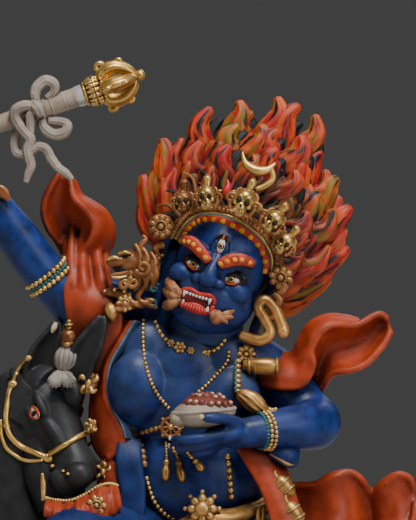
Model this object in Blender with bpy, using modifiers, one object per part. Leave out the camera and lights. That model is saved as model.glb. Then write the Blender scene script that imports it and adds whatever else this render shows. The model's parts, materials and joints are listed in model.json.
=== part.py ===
"""A wrathful goddess riding a mule on a low lotus base: a painted cast figure about 20 cm high.

Four castings make it: the base, the mule, the rider with her scarves, and the club in her fist.
The rider faces -Y, the mule walks towards -X and looks back, and +Z is up.
The origin is the middle of the base's flat underside.
"""

import math

import bmesh
import bpy
from mathutils import Euler, Matrix, Vector

# Driving sizes, in metres
BASE_LENGTH = 0.112
BASE_DEPTH = 0.072
BASE_HEIGHT = 0.014
PLINTH_EDGE = 0.0024  # the plain band below the petals
SLAB_EDGE = 0.0022  # the plain slab above the petals
PETAL_BULGE = 0.0016
PETALS = 20
SLAB_SLOPE = 0.0003  # how far the slab's underside rises towards its edge
MULE_HEIGHT = 0.060  # from the hooves to the top of the back
RIDER_HEIGHT = 0.118  # from the mule's back to the tips of the flames
CLUB_RADIUS = 0.0022  # the shaft, where the fist holds it
CLUB_REACH = 0.0455  # from the fist to the tip of the thunderbolt head
CLUB_HEAD = 0.0145  # the thunderbolt head, which is part of the reach
CLUB_TAIL = 0.0130  # from the fist to the butt
CLUB_RISE = math.radians(19.2)
GAP = 0.0003  # left between castings that touch

# Each figure is drawn on a grid, and its height in metres sets the size of a grid step
MULE_STEPS = 60
RIDER_STEPS = 118
CLUB_STEPS = 45.5
MULE_STEP = MULE_HEIGHT / MULE_STEPS
RIDER_STEP = RIDER_HEIGHT / RIDER_STEPS
CLUB_STEP = CLUB_REACH / CLUB_STEPS
GROUND = Vector((0, 0, BASE_HEIGHT + GAP))
SEAT = Vector((0, 0, BASE_HEIGHT + GAP + MULE_HEIGHT))

# Fineness of the solids
VOXEL = 0.00065
CLUB_VOXEL = 0.0004
MULE_TRIANGLES = 2000
RIDER_TRIANGLES = 4900
CLUB_TRIANGLES = 1150
FINE_WEIGHT = 0.05  # how strongly the thinning spares the face, crown and flames

RED = (0.36, 0.045, 0.02)
BLUE = (0.012, 0.04, 0.16)
BLACK = (0.012, 0.013, 0.015)
WHITE = (0.55, 0.5, 0.44)


def new_scene():
    """Empties the scene and makes the collections for the statue and for its cutters."""
    for thing in list(bpy.data.objects):
        bpy.data.objects.remove(thing)
    made = []
    for name in ("statue", "cutters"):
        made.append(bpy.data.collections.new(name))
        bpy.context.scene.collection.children.link(made[-1])
    made[1].hide_render = True
    return made


def paint(name, colour, roughness=0.5, metallic=0.0):
    """A plain painted finish."""
    material = bpy.data.materials.new(name)
    material.use_nodes = True
    shader = material.node_tree.nodes["Principled BSDF"]
    shader.inputs["Base Color"].default_value = (*colour, 1)
    shader.inputs["Roughness"].default_value = roughness
    shader.inputs["Metallic"].default_value = metallic
    return material


def along_curve(rows, share):
    """The row of numbers at a share, 0 to 1, of a smooth curve through the given rows."""
    last = len(rows) - 1
    place = min(max(share, 0.0), 1.0) * last
    i = min(int(place), last - 1)
    t = place - i
    a, b = rows[max(i - 1, 0)], rows[i]
    c, d = rows[i + 1], rows[min(i + 2, last)]
    return [
        0.5 * (2 * q + (r - p) * t + (2 * p - 5 * q + 4 * r - s) * t * t + (3 * q - p - 3 * r + s) * t**3)
        for p, q, r, s in zip(a, b, c, d)
    ]


def turned(degrees):
    """A turn about X, Y and Z, given in degrees."""
    return Euler([math.radians(angle) for angle in degrees]).to_matrix().to_4x4()


class Clay:
    """Forms pressed together on one grid, which become a single closed casting."""

    def __init__(self, origin, step):
        self.lump = bmesh.new()
        self.grid = Matrix.Translation(origin) @ Matrix.Scale(step, 4)

    def ball(self, centre, radii, turn=(0, 0, 0), frame=Matrix(), around=14):
        """An ellipsoid. A frame places it in the head's or another part's own axes."""
        radii = (radii,) * 3 if isinstance(radii, (int, float)) else radii
        place = self.grid @ frame @ Matrix.Translation(centre) @ turned(turn) @ Matrix.Diagonal((*radii, 1))
        bmesh.ops.create_uvsphere(
            self.lump, u_segments=around, v_segments=around * 2 // 3, radius=1, matrix=place
        )

    def swept(self, rows, facing=(0, -1, 0), frame=Matrix(), around=10, along=12):
        """A form along a curve. A row is x, y, z, half width and, if it isn't round, half depth."""
        rows = [(*row, row[3]) if len(row) == 4 else row for row in rows]
        made = bmesh.ops.create_uvsphere(self.lump, u_segments=around, v_segments=along, radius=1)
        place = self.grid @ frame
        for vertex in made["verts"]:
            share = math.acos(max(-1, min(1, -vertex.co.z))) / math.pi
            x, y, z, width, depth = along_curve(rows, share)
            ahead = Vector(along_curve(rows, share + 0.02)[:3])
            behind = Vector(along_curve(rows, share - 0.02)[:3])
            tangent = (ahead - behind).normalized()
            side = tangent.cross(Vector(facing)).normalized()
            outward = side.cross(tangent)
            ring = math.hypot(vertex.co.x, vertex.co.y)
            point = Vector((x, y, z))
            if ring > 1e-4:
                point += side * (width * vertex.co.x / ring) + outward * (depth * vertex.co.y / ring)
            vertex.co = place @ point
        bmesh.ops.recalc_face_normals(self.lump,
                                      faces=list({f for v in made["verts"] for f in v.link_faces}))

    def cloth(self, near_edge, far_edge, hollow=0.0, ripples=0, ripple=0.0, thickness=1.3, hem=0.95,
              along=16, across=6):
        """Carved cloth between two edge curves, with rounded hems.

        The middle lies back by hollow times the local width, and ripples run across it.
        """
        near_edge = [list(map(float, row)) for row in near_edge]
        far_edge = [list(map(float, row)) for row in far_edge]

        def surface(u, v):
            near, far = Vector(along_curve(near_edge, u)), Vector(along_curve(far_edge, u))
            back = 4 * v * (1 - v) * hollow * (far - near).length
            wave = ripple * math.sin(2 * math.pi * ripples * u)
            return near.lerp(far, v) + Vector((0, back + wave, 0))

        loops = []
        for i in range(along + 1):
            u = 0.01 + 0.98 * i / along
            front, rear = [], []
            for j in range(across + 1):
                v = j / across
                lengthwise = surface(u + 0.01, v) - surface(u - 0.01, v)
                crosswise = surface(u, min(1, v + 0.05)) - surface(u, max(0, v - 0.05))
                normal = lengthwise.cross(crosswise).normalized() * thickness / 2
                point = surface(u, v)
                front.append(self.lump.verts.new(self.grid @ (point + normal)))
                rear.append(self.lump.verts.new(self.grid @ (point - normal)))
            loops.append(front + rear[::-1])
        faces = [self.lump.faces.new(loops[0]), self.lump.faces.new(loops[-1])]
        for one, two in zip(loops, loops[1:]):
            for k in range(len(one)):
                m = (k + 1) % len(one)
                faces.append(self.lump.faces.new((one[k], one[m], two[m], two[k])))
        bmesh.ops.recalc_face_normals(self.lump, faces=faces)
        for edge in (near_edge, far_edge):
            self.swept([(*row, hem) for row in edge], around=8, along=along)

    def cast(self, name, home, material, voxel, triangles, softening=2, finer=()):
        """Fuses the forms into one closed skin with about the given number of triangles.

        Each pair in finer is a height and a depth: the thinning spares what lies above the one and
        before the other.
        """
        mesh = bpy.data.meshes.new(name)
        self.lump.to_mesh(mesh)
        self.lump.free()
        casting = bpy.data.objects.new(name, mesh)
        home.objects.link(casting)
        mesh.materials.append(material)
        fuse = casting.modifiers.new("fuse", "REMESH")
        fuse.mode = "VOXEL"
        fuse.voxel_size = voxel
        soften = casting.modifiers.new("soften", "SMOOTH")
        soften.iterations = softening
        casting.data = outer_skin(settled(casting))
        casting.modifiers.clear()
        total = sum(len(face.vertices) - 2 for face in casting.data.polygons)
        thin = casting.modifiers.new("thin", "DECIMATE")
        thin.ratio = triangles / total
        thin.use_collapse_triangulate = True
        if finer:
            plain = casting.vertex_groups.new(name="plain carving")
            for vertex in casting.data.vertices:
                spared = any(vertex.co.z > height and vertex.co.y < depth for height, depth in finer)
                plain.add([vertex.index], 0.5 if spared else 1.0, "REPLACE")
            thin.vertex_group = plain.name
            thin.vertex_group_factor = FINE_WEIGHT
        casting.data = settled(casting)
        casting.modifiers.clear()
        return casting


def settled(thing):
    """The object's mesh with its modifiers applied."""
    graph = bpy.context.evaluated_depsgraph_get()
    graph.update()
    return bpy.data.meshes.new_from_object(thing.evaluated_get(graph))


def outer_skin(mesh):
    """The mesh without the closed bubbles that lie inside its outer skin."""
    lump = bmesh.new()
    lump.from_mesh(mesh)
    unseen = set(lump.verts)
    shells = []
    while unseen:
        shell = set()
        edge_of_shell = [unseen.pop()]
        while edge_of_shell:
            vertex = edge_of_shell.pop()
            shell.add(vertex)
            for edge in vertex.link_edges:
                other = edge.other_vert(vertex)
                if other in unseen:
                    unseen.remove(other)
                    edge_of_shell.append(other)
        shells.append(shell)
    largest = max(shells, key=len)
    bmesh.ops.delete(lump, geom=[v for shell in shells if shell is not largest for v in shell],
                     context="VERTS")
    lump.to_mesh(mesh)
    lump.free()
    return mesh


def cut(casting, cutter):
    """Takes the cutter's volume away from a casting."""
    cutter.hide_render = True
    cutter.display_type = "WIRE"
    trim = casting.modifiers.new("cut by " + cutter.name, "BOOLEAN")
    trim.operation = "DIFFERENCE"
    trim.solver = "EXACT"
    trim.object = cutter


def make_base(home):
    """An oval plinth with one row of lotus petals between two plain edges.

    Each section is a height, an inset from the oval, and how full the petals are there.
    """
    points_per_petal = 4
    count = PETALS * points_per_petal
    petals_from = PLINTH_EDGE
    petals_to = BASE_HEIGHT - SLAB_EDGE
    rise = petals_to - petals_from
    sections = [
        (0, 0, 0),
        (PLINTH_EDGE, 0, 0),
        (petals_from + 0.08 * rise, 1.3 * PETAL_BULGE, 0.4),
        (petals_from + 0.45 * rise, 0.9 * PETAL_BULGE, 1),
        (petals_from + 0.80 * rise, 1.6 * PETAL_BULGE, 0.9),
        (petals_to, 2.4 * PETAL_BULGE, 0.2),
        (petals_to + SLAB_SLOPE, 1.4 * PETAL_BULGE, 0),
        (BASE_HEIGHT, 1.4 * PETAL_BULGE, 0),
    ]
    lump = bmesh.new()
    rings = []
    for height, inset, fullness in sections:
        ring = []
        for i in range(count):
            angle = 2 * math.pi * i / count
            swell = 2 * PETAL_BULGE * fullness * (abs(math.cos(PETALS * angle / 2)) - 0.7)
            reach = swell - inset
            ring.append(
                lump.verts.new(
                    (
                        (BASE_LENGTH / 2 + reach) * math.cos(angle),
                        (BASE_DEPTH / 2 + reach) * math.sin(angle),
                        height,
                    )
                )
            )
        rings.append(ring)
    for low, high in zip(rings, rings[1:]):
        for i in range(count):
            j = (i + 1) % count
            lump.faces.new((low[i], low[j], high[j], high[i]))
    lump.faces.new(rings[0][::-1])
    lump.faces.new(rings[-1])
    bmesh.ops.triangulate(lump, faces=[f for f in lump.faces if len(f.verts) > 4])
    mesh = bpy.data.meshes.new("base")
    lump.to_mesh(mesh)
    lump.free()
    mesh.materials.append(paint("painted lotus", RED))
    base = bpy.data.objects.new("base", mesh)
    home.objects.link(base)
    return base


# The mule's head is drawn from the poll: along the face to the nose, to its left side, and up
POLL = Vector((-30, -3, 109))
NOSE = Vector((-18, -14.5, 83))
FACE_LENGTH = 0.82  # a step along the face is this much shorter than the others


def mule_head_frame():
    """The head's own axes, as the columns along, side and up."""
    along = (NOSE - POLL).normalized()
    side = Vector((-along.y, along.x, 0)).normalized()
    up = along.cross(side)
    frame = Matrix.Identity(4)
    for column, axis in enumerate((along, side, up)):
        frame.col[column].xyz = axis
    frame.col[0].xyz = along * FACE_LENGTH
    frame.col[3].xyz = POLL
    return frame


# Each ear from its root to its tip, and the half width and half depth at each place
EARS = (
    ((-33.4, -3, 104), (-33.9, -4, 108.6), (-32.2, -4.6, 114.6), (-30.2, -4.4, 119), (-29.4, -4, 121.6)),
    ((-25.4, -6, 104), (-24.2, -8, 109.6), (-21.8, -9.4, 115.4), (-19.2, -9.4, 120.4), (-18.2, -9, 123)),
)
EAR_WIDTHS = ((2.6, 2.2), (3.2, 2), (3.2, 1.6), (1.6, 1), (0.45, 0.45))


def mule_leg(clay, top, knee, pastern, hoof, thick):
    """A leg from the body to a flared hoof that stands on the ground."""
    clay.swept(
        [
            (*top, thick), (*knee, thick * 0.5), (*pastern, thick * 0.36),
            (hoof[0], hoof[1], 3.4, thick * 0.45), (hoof[0] - 0.8, hoof[1], -0.5, thick * 0.62),
        ],
        facing=(1, 0, 0),
        along=14,
    )


def make_mule(home, cutters):
    """The mule: barrel, neck turned back, long face, tall ears, legs and tail."""
    clay = Clay(GROUND, MULE_STEP)
    clay.swept(
        [(-44, 4, 43, 9), (-37, 4, 43, 14), (-18, 5, 44, 15), (2, 5, 43, 14.5), (22, 5, 44, 15.5),
         (36, 5, 43, 14.5), (44, 5, 42, 8)],
        around=16, along=16,
    )
    clay.swept(
        [(-34, 4, 42, 14), (-40, 3.5, 57, 14), (-42, 3, 72, 12.5, 10.5), (-41, 2.5, 86, 11, 9),
         (-37, 1.5, 98, 9.5, 8), (-32, 0, 106, 7)],
        around=14, along=14,
    )
    clay.swept(
        [(-28, 8, 59, 1.6, 2), (-45, 7.5, 68, 2, 2.4), (-52, 6.5, 82, 2, 2.4), (-49.5, 5.5, 95, 2, 2.4),
         (-43, 4, 104.5, 2, 2.2), (-36.5, 2, 108, 1.4)],
        along=12, around=8,
    )
    head = mule_head_frame()
    clay.swept(
        [(-4, 0, -9, 5.5, 6), (4, 0, -8.4, 7.4, 8.4), (11, 0, -8.6, 7.2, 9), (18, 0, -7.4, 5.6, 7),
         (24, 0, -6.4, 4.9, 5.4), (30, 0, -6.4, 5.6, 5.6), (34, 0, -7.4, 4, 4)],
        frame=head, facing=(0, 0, 1), around=14, along=14,
    )
    clay.swept([(6, 0, -15, 5.4, 5), (13, 0, -14.6, 5.2, 4.4), (22, 0, -12.6, 3.6, 3),
                (28, 0, -14, 3.8, 2.8), (31.5, 0, -14.6, 2.4, 2)], frame=head, facing=(0, 0, 1))
    for side in (-1, 1):
        clay.ball((9, side * 6.6, -2.6), (3.4, 1.9, 2.6), frame=head)
        clay.ball((31, side * 3.8, -3.8), (2.8, 1.8, 2), frame=head)
    for ear in EARS:
        clay.swept([(*point, *widths) for point, widths in zip(ear, EAR_WIDTHS)], along=14)
    clay.ball((-27.8, -8, 108.2), (3.3, 1.8, 2.8))
    clay.swept([(-28, -6, 107, 2), (-27, -8, 112, 2), (-26.8, -8.6, 115, 2.3), (-26.3, -9, 118.6, 1.4),
                (-26.2, -9.4, 120.6, 1.6), (-26.2, -9.4, 122, 0.8)], along=12)
    clay.ball((34, 5, 44), (13.5, 14.5, 16.5))
    clay.ball((-33, 4.5, 42), (13.5, 14, 16.5))
    clay.cloth([(-15, -3.4, 55), (8, -3.4, 55.5), (31, -3.4, 55)],
               [(-17, -8.8, 33), (8, -8.8, 31.5), (33, -8.8, 33)],
               hollow=-0.24, along=14, across=8)
    mule_leg(clay, (-36, -4, 36), (-39, -6, 20), (-38, -7, 8), (-38.5, -7), 7)
    mule_leg(clay, (-32, 13, 36), (-29, 14, 20), (-28, 14, 8), (-28, 14), 7)
    mule_leg(clay, (32, -4, 36), (37, -6, 22), (33, -7, 9), (31.5, -7), 8.5)
    mule_leg(clay, (36, 13, 36), (42, 14, 22), (40, 14, 9), (39, 14), 8.5)
    clay.swept([(42, 5, 50, 2.4), (49, 6, 47, 3), (52.5, 7, 36, 3.6), (50, 8, 24, 3), (46.5, 9, 15, 0.6)])
    mule = clay.cast("mule", home, paint("black coat", BLACK), VOXEL, MULE_TRIANGLES)
    floor = bpy.data.meshes.new("ground plane")
    block = bmesh.new()
    bmesh.ops.create_cube(
        block, size=1,
        matrix=Matrix.Translation((0, 0, GROUND.z - BASE_HEIGHT)) @ Matrix.Diagonal(
            (2 * BASE_LENGTH, 2 * BASE_DEPTH, 2 * BASE_HEIGHT, 1)
        ),
    )
    block.to_mesh(floor)
    block.free()
    ground = bpy.data.objects.new("ground plane", floor)
    cutters.objects.link(ground)
    cut(mule, ground)
    return mule


# The rider's head is drawn from its middle: right, back and up, then leaned and turned
HEAD_AT = Vector((10.5, -5, 73.5))
HEAD_LEAN = 17  # the crown leans to the rider's left
HEAD_TURN = -8
HEAD_BOW = 5
HAIR_AT = Vector((15.2, 4, 83.5))
HAIR_AXIS = 66  # degrees above level, the way that the fan of flames points
FIST = Vector((-52, -4, 106.8))
FINE = ((56, 5), (29, -12))  # the head, and the hand with the cup: above a height and before a depth


def rider_head_frame():
    """The rider's head: bowed, turned to her right, then leaned to her left."""
    lean = Matrix.Rotation(math.radians(HEAD_LEAN), 4, "Y")
    turn = Matrix.Rotation(math.radians(HEAD_TURN), 4, "Z")
    bow = Matrix.Rotation(math.radians(HEAD_BOW), 4, "X")
    return Matrix.Translation(HEAD_AT) @ lean @ turn @ bow


def flame(clay, angle, reach, root, width, depth_at, lift, wave):
    """One lock of flame that starts outwards and curls up towards the middle of the fan."""
    curl = 0.26 * (angle - HAIR_AXIS)
    steps = ((0, 1.0, 0.9), (0.3, 1.1, 1.15), (0.58, 0.8, 1.05), (0.82, 0.35, 0.7), (1.0, -0.15, 0.16))
    rows = []
    for share, bend, swell in steps:
        away = math.radians(angle + curl * bend + wave * math.sin(2 * math.pi * share))
        radius = root + (reach - root) * share
        rows.append(
            (HAIR_AT.x + radius * math.cos(away), HAIR_AT.y + depth_at + lift * share,
             HAIR_AT.z + radius * math.sin(away), swell * width, swell * width * 0.8)
        )
    clay.swept(rows, around=8, along=10)


# The outermost flames' tips: the angle in degrees from level, and the distance from the hair's middle
FLAME_TIPS = (
    (171, 22.2), (160, 25.5), (151.5, 28), (140, 26.4), (131, 30), (122, 27), (114, 28.4), (103, 31.6),
    (91, 32.6), (83.5, 30), (74.5, 34.9), (64, 35), (57, 34.8), (43, 28.8), (35, 26.5), (27, 28.2),
    (19, 26.4), (11, 28.8), (1, 26.4), (-10, 27.7), (-20, 25.4), (-29.5, 25.6), (-41, 24.5),
)


def flame_reach(angle):
    """How far the fan of flames reaches at an angle, read between the outermost tips."""
    for (one, far), (two, near) in zip(FLAME_TIPS, FLAME_TIPS[1:]):
        if angle >= two:
            return far + (near - far) * min(max((one - angle) / (one - two), 0), 1)
    return FLAME_TIPS[-1][1]


def add_hair(clay):
    """The outermost flames, then rings of shorter ones before and behind them."""
    clay.ball((HAIR_AT.x + 4, HAIR_AT.y + 3, HAIR_AT.z + 6), (21, 7, 18))
    # How many flames, their share of the fan's reach, where they start, their width, depth and lift
    rings = (
        (17, 0.84, 12, 2.9, -1.5, 0), (12, 0.66, 9, 2.7, -5, -1), (16, 0.88, 13, 3.1, 7, 1),
        (11, 0.66, 9, 3.0, 10.5, 0),
    )
    for i, (angle, reach) in enumerate(FLAME_TIPS):
        flame(clay, angle, reach, 13, 2.7, 2.5, 1, (5, -4)[i % 2])
    for count, share, root, width, depth_at, lift in rings:
        for i in range(count):
            angle = 152 - 184 * (i + 0.5) / (count - 0.5)
            reach = share * flame_reach(angle) * (1, 0.92, 0.97)[i % 3]
            flame(clay, angle, reach, root, width, depth_at, lift, (5, -4)[i % 2])


BROWS = (
    [(-9.2, -8.2, 5.4), (-7.4, -9.6, 5.9), (-4.9, -10.6, 4.9), (-1.4, -11.4, 2.7)],
    [(0.9, -11.4, 2.7), (2.3, -11.2, 3.9), (4.3, -10.6, 5.1), (6.4, -9.7, 5.5), (8.8, -8.0, 5.0)],
)
LIPS = [
    (-6.2, -10.4, -6.6), (-5.6, -11, -5), (-4, -11.5, -4.2), (-1.7, -11.7, -4.6), (0.8, -11.5, -4.2),
    (2.2, -10.8, -6.8), (1.9, -10.8, -8.6), (-1.8, -11, -10.1), (-4.2, -10.8, -9.6), (-6.0, -10.4, -8.6),
    (-6.2, -10.4, -6.6),
]
# A skull's middle, the tip of the jewel above it, and its size
SKULLS = (
    ((-12.4, -7.5, 14.6), (-13.6, -6.5, 18.9), 0.92),
    ((-6.8, -10, 17.4), (-8.1, -9, 21.6), 1.0),
    ((2.2, -10.5, 18.9), (2.7, -9, 24.0), 1.2),
    ((10.0, -8.5, 16.4), (11.7, -7, 20.6), 1.02),
    ((13.9, -5.5, 11.9), (15.6, -4.5, 15.8), 0.92),
)


def add_face(clay, head):
    """Bulging cheeks, knitted brows, broad nose, eyeballs, open mouth and long ears."""
    clay.ball((0, 1, 2), (11.6, 12, 13.5), frame=head, around=20)
    clay.ball((-0.4, -2, -6), (11.2, 10.3, 9.3), frame=head, around=20)
    clay.ball((-1, -5.6, -11.2), (6.2, 5.2, 3.8), frame=head)
    clay.ball((-1.8, -9.0, -6.9), (4.6, 1.9, 3.2), frame=head)
    clay.swept([(*point, 1.0) for point in LIPS], frame=head, facing=(0, 1, 0), along=24, around=8)
    clay.swept([(-0.1, -9.6, 4.2, 1.5), (-0.4, -11.2, 2, 1.5), (-0.7, -12.8, -1.2, 1.6)], frame=head,
               along=8)
    clay.ball((-0.7, -12.4, -1.2), (2.0, 2.0, 1.7), frame=head)
    for x in (-3.0, 1.9):
        clay.ball((x, -10.9, -1.7), (1.5, 1.8, 1.3), frame=head)
    for brow in BROWS:
        clay.swept([(*point, 1.5) for point in brow], frame=head, along=12, around=8)
    for x, z, size in ((-7.6, -2.4, 3.3), (6.2, -2.8, 3.5)):
        clay.ball((x, -7.6, z), (size, size * 0.9, size * 0.92), frame=head)
    for x, z in ((-5.2, 0.9), (4.7, 0.1)):
        clay.ball((x, -9.6, z), (2.0, 1.7, 1.3), frame=head)
    for side, out in ((-1, -12.2), (1, 12.0)):
        clay.swept([(out, 1.6, 6, 1.4, 2.4), (out + side * 1.6, 0.4, 3.6, 1.5, 2.6),
                    (out + side * 1.2, 0.2, -1, 1.4, 2.2), (out + side * 0.4, 0, -6, 1.2, 1.6),
                    (out, -0.4, -12.4, 1.5, 1.6)], frame=head,
                    along=12)
        clay.ball((side * 15.4, -2, 4.6), (3.2, 2.0, 3.2), frame=head)
        clay.ball((side * 15.6, -4, 4.6), (1.4, 1.2, 1.4), frame=head)
    for tip in ((-10.9, -8.5, -5.0), (-11.0, -8.0, -7.6), (-9.8, -7.5, -11.2)):
        clay.swept([(-5.9, -10.6, -7.4, 1.0), (-8, -10, (tip[2] - 7.4) / 2, 1.4), (*tip, 1.0)], frame=head,
                   along=6, around=8)
    clay.ball((3.9, -10, -9.6), (1.9, 1.7, 1.9), frame=head)
    clay.swept([(4.5, -10, -9.2, 1.5), (7.6, -8, -9, 1.2)], frame=head, along=6, around=8)


def add_crown(clay, head):
    """A band over the forehead and five skulls with jewels on stalks."""
    band = []
    for i in range(9):
        turn = math.radians(-88 + 22 * i)
        band.append((12.4 * math.sin(turn), -11.6 * math.cos(turn), 4.2 + 7.6 * math.cos(turn), 1.7, 1.3))
    clay.swept(band, frame=head, facing=(0, 1, 0.3), along=24, around=8)
    for at, finial, size in SKULLS:
        at, finial = Vector(at), Vector(finial)
        up = (finial - at).normalized()
        lean = math.degrees(math.atan2(up.x, up.z))
        clay.ball(at + up * 0.5 * size, (2.2 * size, 2.0 * size, 2.2 * size), turn=(0, lean, 0), frame=head)
        clay.ball(at - up * 1.4 * size, (1.4 * size, 1.5 * size, 1.6 * size), turn=(0, lean, 0), frame=head)
        clay.swept([(*(at + up * 2 * size), 1.2), (*at.lerp(finial, 0.6), 0.9), (*finial, 1.2 * size),
                    (*(finial + up * 1.6), 0.4)],
                   frame=head, along=8, around=8)
        clay.ball(at + Vector((0, 3, -0.5)), (3.8, 2.2, 3.4), frame=head)


def add_torso(clay):
    """Broad chest, heavy breasts, round belly and the cape that covers the back."""
    clay.ball((3, 3, 6), (19, 14, 10))
    clay.ball((4, -1, 23), (18, 12.5, 15))
    clay.ball((2.5, 0, 43), (18.5, 11.5, 16))
    clay.ball((2.5, 2, 53), (20, 9, 8.5))
    clay.ball((7, -1, 60), (8.5, 8.5, 8))
    clay.ball((-9.6, -7.6, 45), (7.6, 6.2, 9.4))
    clay.ball((13.5, -7.6, 43), (7, 5, 8))
    clay.swept([(3, 8, 60, 14, 5), (2.5, 9, 46, 20, 6), (3, 9, 25, 20, 7), (3, 10, 8, 23, 8),
                (3, 10, 2, 20, 6)],
               around=16)
    for at in (-16, -10, -3, 4, 11, 18):
        clay.swept([(at * 0.5 + 1, 12, 58, 1.5), (at * 0.9, 14.6, 44, 1.9), (at * 0.9, 15.4, 26, 2.1),
                    (at * 1.15, 17, 3, 2.6)],
                   along=8, around=7)


KNUCKLES = ((2.6, 3.2, -2.0), (0.6, -2.6, -3.6), (-0.4, -5.6, 0.2), (0, -3.4, 3.2), (0, 1.2, 2.8))
FINGERS = (
    [(12, -22.6, 35.2, 1.5), (6, -25.2, 33.9, 1.4), (1.6, -24.8, 33.4, 1.3), (-1.0, -22.6, 33.9, 1.0)],
    [(12, -21.4, 33.8, 1.5), (6, -23.8, 32.2, 1.4), (1.2, -23.2, 31.5, 1.3), (-1.2, -21, 32.0, 1.0)],
    [(12, -19.4, 32.9, 1.5), (7, -21.4, 30.9, 1.4), (3, -20.8, 30.2, 1.2), (0.6, -18.8, 30.8, 1.0)],
    [(12, -17.4, 32.9, 1.4), (8, -18.6, 30.6, 1.3), (5, -18.2, 30.0, 1.1), (2.8, -16.6, 30.6, 0.9)],
)


def add_arms(clay):
    """The raised arm with its fist, and the bent arm that holds the skull cup before the breast."""
    clay.swept([(-13, 2, 52, 8), (-20, 1, 60, 7), (-28, -0.5, 68.5, 5.9), (-33.5, -1.5, 74.5, 5.5),
                (-40, -2.5, 83.5, 5.1), (-46.5, -3.5, 93, 3.8), (-49.5, -4, 99, 3.6),
                (-51.5, -4, 104, 3.9)], along=16)
    clay.ball(FIST, (4.3, 4.8, 4.3))
    for k in range(4):
        shift = FIST + Vector((-3.6 + 2.3 * k, 0, -1.3 + 0.8 * k))
        clay.swept([(*(shift + Vector(point)), 1.3) for point in KNUCKLES], facing=(1, 0, 0.3), along=10,
                   around=8)
    clay.swept([(16, 3, 52, 8), (24.5, 3, 47.5, 7), (31, 0, 40, 6.3), (34.2, -4, 36.6, 6.2),
                (30, -10, 36, 5.8), (24, -14, 35.6, 4.9), (18, -17, 35, 4.2),
                (11, -19, 33.5, 4.2, 3)], along=20, around=12)
    clay.ball((11.5, -20, 34.6), (5.2, 4, 2.8), turn=(0, -6, 0))
    for finger in FINGERS:
        clay.swept(finger, along=9, around=8)
    clay.swept([(15, -20, 36.8, 2), (12, -24.2, 38.4, 1.5), (8.6, -26.6, 38.8, 1.3),
                (6.2, -27.2, 38.9, 0.9)], along=8, around=8)
    clay.ball((6.8, -20.5, 39.4), (7.9, 6.6, 5.2), turn=(0, -6, 0))
    clay.ball((8, -20.5, 41), (6.8, 5.6, 4), turn=(0, 8, 0))


def add_legs(clay):
    """Thighs across the mule's back under a skirt, shins down its flank, and bare feet."""
    clay.swept([(-6, -1, 7, 11), (-18, -12, 8.5, 9.6), (-26.5, -23, 8, 7.8), (-27.5, -26, -2, 6.6),
                (-25, -25, -12, 5), (-23, -24, -20, 3.6)], facing=(1, 0, 0), along=16)
    clay.swept([(-23, -22, -22, 3.6), (-24, -28, -23.5, 3.2, 2.6), (-26, -35, -25, 2.8, 1.6)], along=7)
    clay.swept([(12, -1, 6, 11), (25, -11, 4.5, 9.6), (34, -21, 2.5, 7.8), (35, -25, -7, 6.6),
                (32, -25, -17, 5), (30, -24, -25, 3.6)], facing=(1, 0, 0), along=16)
    clay.swept([(30, -22, -27, 3.6), (31.5, -28, -28.5, 3.2, 2.6), (34, -35, -30, 2.8, 1.6)], along=7)
    clay.cloth([(-13, -15, 10), (-11, -24, 2), (-9, -23, -10), (-8, -22, -22)],
               [(18, -14, 12), (18, -24, 1), (16, -24, -10), (15, -22, -24)],
               hollow=-0.12, thickness=2.6, along=12, across=8)
    for at in (-5, 1, 7, 12):
        clay.swept([(at, -19, 10, 1), (at, -26.8, 1, 1.6), (at * 0.9, -26, -10, 1.7),
                    (at * 0.9, -24.5, -23, 1.8)],
                   along=8, around=7)
    clay.swept([(-17, -9, 9.5, 2.6), (-9, -14, 9.5, 2.0), (-1, -16, 11, 2.0), (6, -16.4, 14, 2.2),
                (14, -14, 14.4, 2.2), (22, -5, 16, 3, 2.6)], along=14)
    clay.ball((6, -16.6, 16), (4.6, 2.4, 4.4))


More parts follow.
